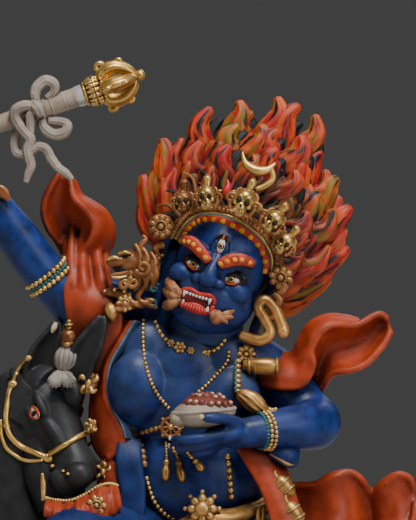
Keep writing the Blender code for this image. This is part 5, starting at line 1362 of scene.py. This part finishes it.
# %% Skirt and leggings
skirt = Carving()
skirt.swept([(-6, -1, 7, 11), (-18, -12, 8.5, 9.6), (-26.5, -23, 8, 7.8), (-27.5, -26, -2, 6.7),
             (-26.4, -25.6, -8, 6)], facing=(1, 0, 0), around=28, along=32)
skirt.swept([(12, -1, 6, 11), (25, -11, 4.5, 9.6), (34, -21, 2.5, 7.8), (35, -25, -6, 6.7),
             (33.6, -25.2, -12, 6)], facing=(1, 0, 0), around=28, along=32)
for k in range(7):
    lean = -5 + 10 * k / 6
    skirt.swept([(-10, -7 + lean * 0.4, 14 - abs(lean) * 0.5, 1.2), (-20, -17 + lean, 15 - abs(lean), 1.3),
                 (-27 + lean * 0.4, -27 + lean * 0.5, 9, 1.2),
                 (-29 + lean, -29.6 + abs(lean) * 0.5, 0, 1.1)], around=10, along=24)
    skirt.swept([(16, -7 + lean * 0.4, 13 - abs(lean) * 0.5, 1.2), (26, -16 + lean, 11.5 - abs(lean), 1.3),
                 (35 + lean * 0.3, -25 + lean * 0.4, 5, 1.2), (36 + lean * 0.8, -28.6 + abs(lean) * 0.5, -5,
                     1.1)], around=10, along=24)
skirt.piece("skirt", blue_cloth, voxel=0.5, soften=4)
apron = Carving()
apron.cloth([(-13, -15, 10), (-11, -24, 2), (-9, -23, -10), (-8, -22, -22)],
            [(18, -14, 12), (18, -24, 1), (16, -24, -10), (15, -22, -24)], hollow=-0.12, thickness=2.2,
            along=60, across=30)
for at in (-5, 1, 7, 12):
    apron.swept([(at, -18.4, 9.6, 1), (at, -26.6, 1, 1.4), (at * 0.9, -25.8, -10, 1.5),
                 (at * 0.9, -24.4, -22.5, 1.5)], along=24)
apron.piece("apron", tiger_cloth, voxel=0.5, soften=3)
trim = Carving()
trim.swept([(-8.6, -22.6, -21.6, 0.9), (3.4, -26, -23, 1.0), (15.2, -23, -23.6, 0.9)], around=12, along=40)
for start, middle, end in (((-33, -23, 2), (-27.5, -32.4, -5), (-21.4, -27, -5.4)),
                           ((29, -28, -9), (35, -31.6, -9.6), (40.4, -25, -8.6))):
    trim.swept([(*start, 0.8), (*middle, 0.9), (*end, 0.8)], around=12, along=30)
trim.piece("gold hems", old_gold)

# %% [markdown]
# The frill over her right thigh and the belt are in the picture's lower edge: a rippled red frill with a gold
# edge, a gold flower at the middle of the belt and a fringe of small gold drops.

# %% Belt and frill
belt = Carving()
belt.swept([(-17, -9, 9.5, 2.2, 1.9), (-9, -13.8, 9.5, 1.8), (-1, -15.8, 11, 1.8), (6, -16.2, 14, 2),
            (14, -13.8, 14.4, 2), (22, -5, 16, 2.6, 2.3)], around=28, along=90, flutes=4, flute_depth=0.1)
rosette(belt, (6.2, -18.2, 16.6), 3.6)
belt.swept([(6.2, -18.6, 16.6, 1.5), (6.2, -19.9, 16.7, 1.75), (6.2, -20.5, 16.8, 1.2)], facing=(0, 0, 1),
           around=20, along=12)
for k in range(8):
    turn = 2 * math.pi * k / 8
    belt.ball((6.2 + 4.1 * math.cos(turn), -17.6, 16.6 + 4.1 * math.sin(turn)), 0.6, around=10)
for k in range(13):
    x = 9.2 + 0.98 * k
    y = min(lay(figure_surface, x, 15, default=-10)[1], -8) - 2.2
    belt.swept([(x, y, 15.8 + 0.06 * k, 0.42), (x + 0.15 * (-1) ** k, y - 0.7, 14.4, 0.6, 0.45),
                (x, y - 0.7, 12.8, 0.65, 0.45), (x, y - 0.3, 11.0, 0.15)], around=12, along=16, flutes=3)
belt.piece("belt", old_gold)
frill, frill_edge = Carving(), Carving()
FRILL_TOP = [(-31.6, -15.4, 18.6), (-28.9, -16.2, 18.1), (-25.5, -16.8, 18.1), (-22.1, -16.6, 19.5),
             (-18.7, -15.8, 21.5), (-16.2, -14.8, 22), (-14.3, -14, 21.5)]
FRILL_LOW = [(-31.6, -19.6, 15.6), (-28.9, -21, 13.7), (-25.5, -21.6, 13.4), (-22.1, -21, 14.2),
             (-18.7, -19.8, 14.2), (-15.8, -18, 15.1), (-13.6, -16.4, 17.1)]
frill.cloth(FRILL_TOP, FRILL_LOW, hollow=-0.25, ripples=5.5, ripple=0.9, along=110, across=18, hem=0.6)
for k in range(11):
    share = (k + 0.5 + 0.22 * math.sin(k * 2.1)) / 11
    (x0, y0, z0), (x1, y1, z1) = along_curve(FRILL_TOP, share), along_curve(FRILL_LOW, share)
    frill.swept([(x0, y0 - 0.8, z0 + 0.2, 0.5), ((x0 + x1) / 2, min(y0, y1) - 0.6, (z0 + z1) / 2, 0.85),
                 (x1, y1 - 0.7, z1 - 0.4, 0.9)], around=12, along=14)
frill.piece("frill", red_cloth, voxel=0.3, soften=3)
for k in range(30):
    x, y, z = along_curve(FRILL_TOP, (k + 0.5) / 30)
    frill_edge.ball((x, y - 1.2, z + 0.5), (0.55, 0.5, 0.5), around=10)
rosette(frill_edge, (-19.2, -21, 17.6), 2.5, petals=7)
frill_edge.swept([(-32.6, -12, 24.9, 0.4), (-32.3, -12.6, 22, 0.7), (-32.3, -13.4, 18.1, 0.5)], around=12,
                 along=20, flutes=4, twist=20)
frill_edge.piece("gold edge of the frill", old_gold)

# %% [markdown]
# The skull cup is a pale bowl, shallow and wide, heaped with a red offering that has cream spots.

# %% Skull cup
cup, offering, spots = Carving(), Carving(), Carving()
cup.ball((6.6, -20.5, 39.7), (7.7, 6.3, 3.7), turn=(0, -5, 0), around=32)
cup.swept([(6.6 + 7.5 * math.cos(math.radians(a)), -20.5 + 6.1 * math.sin(math.radians(a)),
            40.3 + 0.6 * math.cos(math.radians(a)), 0.5) for a in range(0, 361, 30)], facing=(0, 0, 1),
          around=10, along=70)
cup.ball((1.0, -22.4, 38.4), (2.4, 2.2, 1.9), around=14)
offering.ball((7.6, -20.5, 41.0), (6.5, 5.3, 3.4), turn=(0, 6, 0), around=28)
for k, (x, y) in enumerate(((3.2, -23.6), (4.6, -24.6), (6.2, -25.0), (8.2, -25.4), (10.0, -25.0),
                            (11.6, -24.2), (12.8, -22.8), (5.4, -22.6), (7.2, -23.2), (9.2, -23.4),
                            (11.0, -22.4), (6.2, -20.8), (8.4, -21.0), (10.2, -20.2), (4.2, -21.6),
                            (7.6, -18.6))):
    reach = min(0.98, math.hypot((x - 7.6) / 6.5, (y + 20.5) / 5.3))
    z = 41.0 + 3.4 * math.sqrt(1 - reach**2) + 0.1 * (7.6 - x) * 0.3
    offering.ball((x, y, z - 0.2), (1.0, 0.9, 0.8), turn=(k * 31, k * 17, 0), around=12)
    if k % 3 != 2:
        spots.ball((x + 0.2, y - 0.5, z + 0.15), (0.5, 0.4, 0.4), around=10)
cup.piece("skull cup", ivory)
offering.piece("offering in the cup", offering_red)
spots.piece("cream spots", cream)
nails = Carving()
nails.ball((6.0, -27.9, 39.2), (0.75, 0.4, 0.6), around=12)
for finger in FINGERS[:3]:
    x, y, z, _ = finger[-1]
    nails.ball((x - 0.5, y - 0.7, z), (0.4, 0.5, 0.6), around=10)
nails.piece("nails", cream)

# %% [markdown]
# The jewellery is what makes such a figure rich. Strings of beads follow curves laid on the chest, each
# bead set a little into the skin. Rings of beads go round the arms, and rosettes and tassels hang from the
# strings.

# %% Strings of beads


def string_of_beads(clay, points, size, lift=0.15, apart=2.0):
    """Beads along a curve of x, z points, laid on the figure and a little flattened."""
    rows = [list(map(float, point)) for point in points]
    steps = 400
    path = [along_curve(rows, k / steps) for k in range(steps + 1)]
    gone = 0.0
    for one, two in zip(path, path[1:]):
        gone += math.dist(one, two)
        if gone >= size * apart:
            spot = lay(figure_surface, *two, lift=lift)
            if spot:
                clay.ball(spot, (size, size * 0.8, size), around=10)
            gone = 0.0


gold_beads, pendants, copper_beads = Carving(), Carving(), Carving()
string_of_beads(gold_beads, [(-6.0, 63.6), (-5.3, 61.4), (-3.8, 58.5), (-2.1, 56.6)], 0.6)
string_of_beads(gold_beads, [(5.4, 54.0), (9.3, 54.6), (11.3, 56.6), (12.0, 57.5)], 0.6)
for x, z, size in ((-1.4, 56.3, 1.0), (0.8, 55.3, 1.5), (3.4, 54.5, 0.95), (7.4, 53.9, 0.8)):
    rosette(pendants, lay(figure_surface, x, z, lift=0.5), size, petals=6)
string_of_beads(gold_beads, [(-8.2, 63.9), (-8.2, 57), (-7.7, 52.2), (-6.3, 47.3), (-4.3, 43.4),
                             (-1.6, 40.2)], 0.5)
string_of_beads(gold_beads, [(12.7, 55.1), (12.2, 51.7), (9.3, 48.3), (6.4, 45.4), (5.2, 44.4),
                             (3.4, 41.4)], 0.5)
string_of_beads(copper_beads, [(-9.9, 33.7), (-8.4, 29.8), (-7.8, 26)], 0.95, apart=1.5)
string_of_beads(gold_beads, [(-7.6, 24.6), (-5.8, 18.6), (-3.3, 15.2), (-0.9, 13.5)], 0.6)
string_of_beads(gold_beads, [(12.2, 30.3), (12.7, 25.4), (13.2, 19.1), (13.5, 18.1)], 0.8)
string_of_beads(copper_beads, [(-9.4, 34.2), (-7, 34.9), (-4.4, 35.6)], 0.7, apart=1.6)
WHEEL = (-1.4, 35.9)
x, y, z = lay(figure_surface, *WHEEL, lift=1.0)
copper_beads.swept([(x + 2.2 * math.cos(math.pi * k / 6), y, z + 2.2 * math.sin(math.pi * k / 6), 0.55)
                    for k in range(13)], facing=(0, 1, 0), around=10, along=50)
copper_beads.ball((x, y + 0.6, z), (2.4, 0.7, 2.4))
for k in range(8):
    turn = 2 * math.pi * k / 8
    copper_beads.swept([(x, y - 0.3, z, 0.45), (x + 2.0 * math.cos(turn), y - 0.1, z + 2.0 * math.sin(turn),
                                                0.35)], facing=(0, 1, 0), around=8, along=8)
    copper_beads.ball((x + 2.75 * math.cos(turn), y, z + 2.75 * math.sin(turn)), 0.5, around=10)
pendants.ball((x, y - 0.5, z), 0.85, around=12)
# Each tassel is a thin chain that ends in a long drop.
for chain in ([(-2.6, 32.7), (-2.4, 28.3), (-2.75, 22.9)], [(-0.9, 32.2), (0.3, 28.3), (1.5, 22.7)],
              [(2.3, 31), (4.2, 28.3), (6.4, 25.4)]):
    string_of_beads(pendants, chain[:2], 0.42, lift=0.4, apart=1.7)
    rows = []
    for share, thick in ((0, 0.35), (0.15, 0.75), (0.3, 0.6), (0.55, 0.95), (0.85, 0.8), (1, 0.2)):
        x, z = (a + (b - a) * share for a, b in zip(chain[1], chain[2]))
        rows.append((*lay(figure_surface, x, z, lift=0.6, default=-14), thick))
    pendants.swept(rows, around=24, along=36, flutes=6, flute_depth=0.14)
copper_beads.swept([(-44.4, -7.6, 93.6, 0.4), (-43.2, -8.2, 93.8, 1.1, 0.7), (-42.0, -8, 92.6, 1.3, 0.8),
                    (-40.8, -7.6, 91.0, 0.4)], around=18, along=20, flutes=5)
copper_beads.piece("copper beads and wheel", copper_gold)
pendants.piece("pendants and tassels", old_gold)


def ring_round(clay, centre, along, radius, size, squash=1.0):
    """A ring of beads round a limb."""
    along = Vector(along).normalized()
    across = along.cross(Vector((0, 1, 0.02))).normalized()
    out = along.cross(across)
    count = int(2 * math.pi * radius / (size * 1.9))
    for k in range(count):
        turn = 2 * math.pi * k / count
        clay.ball(Vector(centre) + across * radius * math.cos(turn) + out * radius * squash
                  * math.sin(turn), size, around=10)


# %% Armlets, bracelets and anklets
UPPER_ARM = (-7, -2, 9)
arm_rings = Carving()
ring_round(gold_beads, (-32.2, -1.2, 73.4), UPPER_ARM, 5.7, 0.72)
ring_round(gold_beads, (-30.9, -1.0, 71.8), UPPER_ARM, 5.9, 0.72)
ring_round(arm_rings, (-31.5, -1.1, 72.6), UPPER_ARM, 5.6, 0.5)
ring_round(gold_beads, (-48.2, -3.8, 96.6), (-3, -0.5, 9), 3.8, 0.7)
ring_round(gold_beads, (-48.6, -3.8, 98.0), (-3, -0.5, 9), 3.7, 0.7)
for shift, size, clay in ((0.5, 0.45, arm_rings), (1.4, 0.6, gold_beads), (2.4, 0.55, gold_beads)):
    ring_round(clay, (19.6 + shift, -15.9 + shift * 0.45, 35.3), (6, 3, 0.6), 4.3 + shift * 0.12, size)
for centre in ((-23.4, -23.8, -18.6), (30.4, -24.2, -23.4)):
    ring_round(gold_beads, centre, (1, 0.5, 6), 3.5, 0.7)
gold_beads.piece("gold beads", bright_gold)
arm_rings.piece("turquoise rings on the arms", turquoise)

# %% [markdown]
# Bolder gold work sits on the shoulders, at the belt's right side and between the mule and her breast: leaf
# medallions, a cylinder, buds and a pleated strip. They share one way of building, a leaf made of three
# lobes.

# %% Gold work on shoulders and sides
gold_work = Carving()


def leaf(clay, centre, size, tilt=0.0):
    """A medallion of three curled lobes round a raised drop."""
    frame = Matrix.Translation(centre) @ turned((0, tilt, 0))
    clay.ball((0, 0.3 * size, 0), (0.9 * size, 0.45 * size, 1.1 * size), frame=frame, around=16)
    clay.ball((0, -0.15 * size, -0.1 * size), (0.35 * size, 0.4 * size, 0.55 * size), frame=frame, around=12)
    for turn in (-130, -50, 30, 90, 150, 230):
        a = math.radians(turn)
        clay.swept([(0.3 * size * math.cos(a), 0, 0.4 * size * math.sin(a), 0.24 * size),
                    (0.85 * size * math.cos(a), -0.25 * size, size * math.sin(a), 0.26 * size),
                    (1.05 * size * math.cos(a + 0.45), 0, 1.2 * size * math.sin(a + 0.45), 0.12 * size)],
                   frame=frame, around=10, along=12)


for x, y, z, size, tilt in ((-21.5, -8.0, 46.6, 2.5, 10), (-20.9, -8.2, 36.1, 1.5, -8),
                            (-17.9, -9.4, 25.0, 2.0, 12), (-15.4, -13.4, 18.0, 2.0, 0)):
    leaf(gold_work, (x, y, z), size, tilt)
gold_work.swept([(-16.6, -8.4, 66.0, 0.5), (-16.2, -9.0, 64.6, 1.4), (-15.8, -9.2, 62.8, 1.2),
                 (-15.6, -8.8, 61.2, 0.25)], around=24, along=24, flutes=8, flute_depth=0.14)
string_of_beads(gold_work, [(-16.7, 61.4), (-15.8, 64.2), (-12.6, 66.2), (-8.9, 65.8), (-6.5, 64.6)], 0.55,
                lift=0.6)
rosette(gold_work, (-12.6, -8.8, 66.0), 2.2)
gold_work.ball((-8.9, -8.6, 65.6), (0.95, 0.7, 0.95), around=12)
rosette(gold_work, lay(figure_surface, 16.9, 53.6, lift=0.9, default=-6), 2.4)
gold_work.swept([(16.2, -9.4, 51.0, 1.2), (17.6, -9.7, 50.9, 1.6), (20.0, -9.9, 50.8, 2.0),
                 (22.6, -9.9, 50.7, 2.05), (24.0, -9.8, 50.6, 1.7)], around=40, along=40, flutes=3,
                flute_depth=0.05)
for x, wide in ((17.6, 1.9), (19.0, 1.95), (24.3, 2.0)):
    gold_work.swept([(x - 0.6, -9.8, 50.7, wide * 0.8), (x, -9.8, 50.7, wide * 1.06),
                     (x + 0.6, -9.8, 50.7, wide * 0.8)], around=24, along=10)
for k in range(7):
    gold_work.ball((14.8, -11.6 - 0.35 * k, 52.0 - 1.2 * k), (0.85, 0.7, 0.6), turn=(12, 0, 0), around=12)
gold_work.swept([(15.0, -14, 44.4, 0.9), (15.9, -14.4, 43.8, 1.6), (18.1, -14.6, 42.4, 2.15),
                 (20.5, -14.4, 40.6, 1.7), (22.1, -14.2, 40.0, 0.9)], around=36, along=40, flutes=9,
                flute_depth=0.14, twist=5)
rosette(gold_work, (23.2, -15.0, 39.2), 1.9, petals=6)
for x, y, z, size, tilt in ((26.1, -14.8, 21.7, 3.2, -40), (28.2, -16.6, 15.2, 3.5, -30)):
    frame = Matrix.Translation((x, y, z)) @ turned((0, tilt, 0))
    gold_work.ball((0, 0, 0), (size * 0.68, size * 0.6, size), frame=frame, around=24)
    for level, wide in ((0.35, 0.66), (-0.35, 0.66)):
        gold_work.swept([(size * wide * math.cos(math.pi * k / 6),
                          size * wide * 0.9 * math.sin(math.pi * k / 6), size * level, 0.3)
                         for k in range(13)], frame=frame, facing=(0, 0, 1), around=8, along=40)
    gold_work.swept([(0, 0, size * 0.9, 0.8), (0.2, 0, size * 1.2, 0.6), (0.8, 0, size * 1.4, 0.3)],
                    frame=frame, around=12, along=12)
gold_work.swept([(19.8, -13.4, 27.1, 0.5), (21.7, -14, 25.4, 0.6), (23.9, -14.4, 23.9, 0.6)], around=14,
                along=24, flutes=4, twist=20)
gold_work.piece("gold work", old_gold)
teal_work = Carving()
for k in range(6):
    teal_work.ball((14.3, -11.9 - 0.35 * k, 51.4 - 1.2 * k), (0.5, 0.6, 0.45), turn=(12, 0, 0), around=12)
teal_work.spiral((-5.4, -8.6, 69.6), 1.3, 0.42, start=30, turns=1.2)
teal_work.swept([(-5.8 + 0.8 * math.cos(math.pi * k / 4), -8.8, 66 + 0.8 * math.sin(math.pi * k / 4), 0.3)
                 for k in range(9)], facing=(0, 1, 0), around=8, along=24)
teal_work.piece("turquoise inlay", turquoise)
lappet, lappet_rim = Carving(), Carving()
SLEEVE_TOP = [(22.2, -12.4, 32.2), (25.2, -13.4, 32), (28.1, -13, 31.2), (29.2, -12, 29.8)]
SLEEVE_LOW = [(22.7, -13.4, 29.8), (25.2, -14.6, 28.3), (27.3, -14.4, 27.1), (29, -13, 27.6)]
lappet.cloth(SLEEVE_TOP, SLEEVE_LOW, hollow=-0.25, along=30, thickness=1.6)
lappet.piece("sleeve lappet", blue_cloth)
for edge in (SLEEVE_TOP, SLEEVE_LOW):
    lappet_rim.swept([(x, y - 0.6, z, 0.5) for x, y, z in edge], around=10, along=30)
lappet_rim.piece("rim of the sleeve", old_gold)

# %% [markdown]
# The club is a plain tapered staff painted ivory and grey, with a dark wash and painted shade in its hollows,
# and rings near its head. A white ribbon is knotted round it: a bow of two loops and two long tails. Its head
# is
# half a thunderbolt: four prongs that rise from a lotus basket and close on a ball.

# %% Club
CLUB_RISE = math.radians(19.2)
REACH, TAIL, SHAFT = 45.5, 13.0, 2.2
COLLAR = REACH - 14.5
CLUB = Matrix.Translation(FIST) @ Matrix.Rotation(-CLUB_RISE, 4, "Y")
shaft, ferrule, bolt = Carving(), Carving(), Carving()
shaft.swept([(-TAIL, 0, 0, SHAFT * 0.9), (-TAIL / 2, 0, 0, SHAFT), (0, 0, 0, SHAFT),
             (COLLAR / 3, 0, 0, SHAFT), (COLLAR * 0.66, 0, 0, SHAFT * 1.06),
             (COLLAR - 2, 0, 0, SHAFT * 1.1), (COLLAR - 1, 0, 0, SHAFT)], frame=CLUB, facing=(0, 0, 1),
            around=32, along=80)
shaft.ball((-TAIL, 0, 0), (SHAFT * 1.2, SHAFT * 1.35, SHAFT * 1.35), frame=CLUB)


def club_ring(clay, at, half, edge, middle, around=32, along=12):
    """A raised ring round the club, from its middle by half its length each way, in shaft radii."""
    clay.swept([(at - half, 0, 0, SHAFT * edge), (at, 0, 0, SHAFT * middle), (at + half, 0, 0, SHAFT * edge)],
               frame=CLUB, facing=(0, 0, 1), around=around, along=along)


for at in (4.6, 6.0, 22.6, 26.0, 28.7):
    club_ring(shaft, at, 0.35, 1.04, 1.16, along=10)
ferrule.swept([(28.9, 0, 0, SHAFT * 1.0), (29.1, 0, 0, SHAFT * 1.16), (30.4, 0, 0, SHAFT * 1.2),
               (32, 0, 0, SHAFT * 1.14)], frame=CLUB, facing=(0, 0, 1), around=32, along=20)
for at, size in ((0.4, 1.38), (2.0, 1.5), (5.0, 1.42)):
    club_ring(bolt, COLLAR + at, 0.7, size * 0.8, size)
bolt.ball((COLLAR + 3.2, 0, 0), (2.4, SHAFT * 1.42, SHAFT * 1.42), frame=CLUB, around=28)
for k in range(16):
    turn = 2 * math.pi * k / 16
    bolt.ball((COLLAR + 5.0, SHAFT * 1.42 * math.cos(turn), SHAFT * 1.42 * math.sin(turn)), 0.5, frame=CLUB,
              around=10)
    bolt.swept([(COLLAR + 0.8, SHAFT * 1.3 * math.cos(turn), SHAFT * 1.3 * math.sin(turn), 0.4),
                (COLLAR + 2.6, SHAFT * 1.46 * math.cos(turn), SHAFT * 1.46 * math.sin(turn), 0.55),
                (COLLAR + 4.4, SHAFT * 1.42 * math.cos(turn), SHAFT * 1.42 * math.sin(turn), 0.4)],
               frame=CLUB, facing=(1, 0, 0), around=8, along=10)
for quarter in range(4):
    spin = CLUB @ Matrix.Rotation(quarter * math.pi / 2 + 0.12, 4, "X")
    bolt.swept([(COLLAR + 4, 0, 1.2, 1.3), (COLLAR + 6.2, 0, 3.6, 1.65), (COLLAR + 9.2, 0, 3.9, 1.55),
                (COLLAR + 12, 0, 2.3, 1.2), (REACH - 1.2, 0, 0.4, 0.8)], frame=spin, facing=(0, 1, 0),
               around=24, along=34, flutes=4, flute_depth=0.1)
    bolt.spiral((COLLAR + 5.6, 0, 5.0), 1.35, 0.75, start=-60, turns=1.2, frame=spin)
    bolt.spiral((COLLAR + 10.6, 0, 4.7), 1.0, 0.6, start=-120, turns=-1.1, frame=spin)
bolt.swept([(COLLAR + 4, 0, 0, 1.4), (COLLAR + 8, 0, 0, 1.2), (REACH - 2, 0, 0, 0.8)], frame=CLUB,
           facing=(0, 0, 1), around=16, along=16)
bolt.ball((REACH, 0, 0), 1.35, frame=CLUB, around=18)
shaft.piece("club shaft", ivory, stands_for="club", slot="ivory_shaft")
ferrule.piece("silver ferrule", hand_painted("silver white", (0.62, 0.60, 0.58), (0.2, 0.15, 0.12),
                                             (0.9, 0.9, 0.9), 0.35, metallic=0.3))
bolt.piece("thunderbolt head", bright_gold)

# %% Ribbon on the club
KNOT = COLLAR * 0.61
ribbon = Carving()
# Each length of the ribbon: along the club, towards us, above the club, half width and half thickness
RIBBONS = (
    [(19.2, -1.5, 1.6, 1.1), (19.6, -1.5, 3.6, 1.2), (20.9, -1.4, 5.4, 1.3), (23.2, -1.4, 6.2, 1.3),
     (24.8, -1.4, 4.8, 1.25), (24.2, -1.2, 3.0, 1.1), (22.0, -1, 2, 0.9)],
    [(19.0, -1.4, -2.4, 1.1), (19.2, -1.4, -4.8, 1.2), (20.9, -1.4, -6.9, 1.3), (23.4, -1.4, -7.2, 1.3),
     (24.6, -1.2, -5.8, 1.2), (23.2, -1, -4.4, 1.1), (20.6, -1, -3.2, 0.9)],
    [(19.0, -2.6, 0.7, 1.2), (16.6, -3, 1.9, 1.3), (14.2, -3, 1.7, 1.3), (13.3, -2.6, 0, 1.3),
     (14.0, -2.4, -3.2, 1.3), (15.0, -2.2, -6.0, 1.3), (13.7, -2, -8.2, 1.25), (13.3, -2, -10.4, 1.2),
     (13.0, -2, -12.4, 1.1), (11.6, -2, -14.2, 0.9), (10.5, -2, -15.8, 0.6)],
    [(14.0, -2, -9.1, 1.0), (16.0, -2, -8.4, 1.1), (17.8, -2, -9.6, 1.1), (18.3, -2, -12.2, 1.1),
     (19.2, -2, -14.8, 1.0), (20.5, -2, -16.8, 0.95), (21.5, -2, -18.8, 0.6)],
    [(14.2, -1.4, -2.6, 0.9), (11.9, -0.8, -4.1, 1.1), (10.8, -0.6, -6.2, 1.1), (10.9, -0.8, -8.2, 1.1),
     (13.0, -1.4, -9.4, 0.9)],
    [(18.9, -2.6, -0.5, 0.9), (17.2, -2.8, -0.3, 1.1), (16.4, -2.6, -2.2, 1.1), (15.4, -2.3, -5, 0.9)],
)
for rows in RIBBONS:
    ribbon.swept([(*row, row[3] * 0.8) for row in rows], frame=CLUB, around=32, along=80, flutes=8,
                 flute_depth=0.08)
for at in (18.5, 19.3, 20.0):
    club_ring(ribbon, at, 0.55, 1.15, 1.42, around=24)
ribbon.swept([(KNOT - 0.6, -2.2, 2.2, 0.9), (KNOT + 0.2, -3.4, 0.6, 1.4, 1.1),
              (KNOT + 0.5, -2.8, -1.6, 1.0)], frame=CLUB, around=32, along=30, flutes=6)
# The ribbon's finish has a dark wash and painted shade in its grooves.
ribbon.piece("ribbon on the club", hand_painted("ribbon with wash and painted shade", (0.33, 0.265, 0.21), (0.07, 0.042, 0.028),
                                                (0.70, 0.64, 0.57), 0.5, hollow=2.2, mottle=0.3,
                                                wash_and_shade_amount=0.95, rub_and_highlight_amount=0.5))

# %% [markdown]
# Last we print the dressed statue's box beside the castings' box, and the pieces with their triangles.

# %% Sizes and finish
dressed_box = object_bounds()
for name, box in (("castings", castings_box), ("dressed", dressed_box)):
    print(name, [[round(value * 1000, 1) for value in corner] for corner in box])
print(len(TRIANGLES), "pieces with", sum(TRIANGLES.values()), "triangles, at most", max(TRIANGLES.values()))
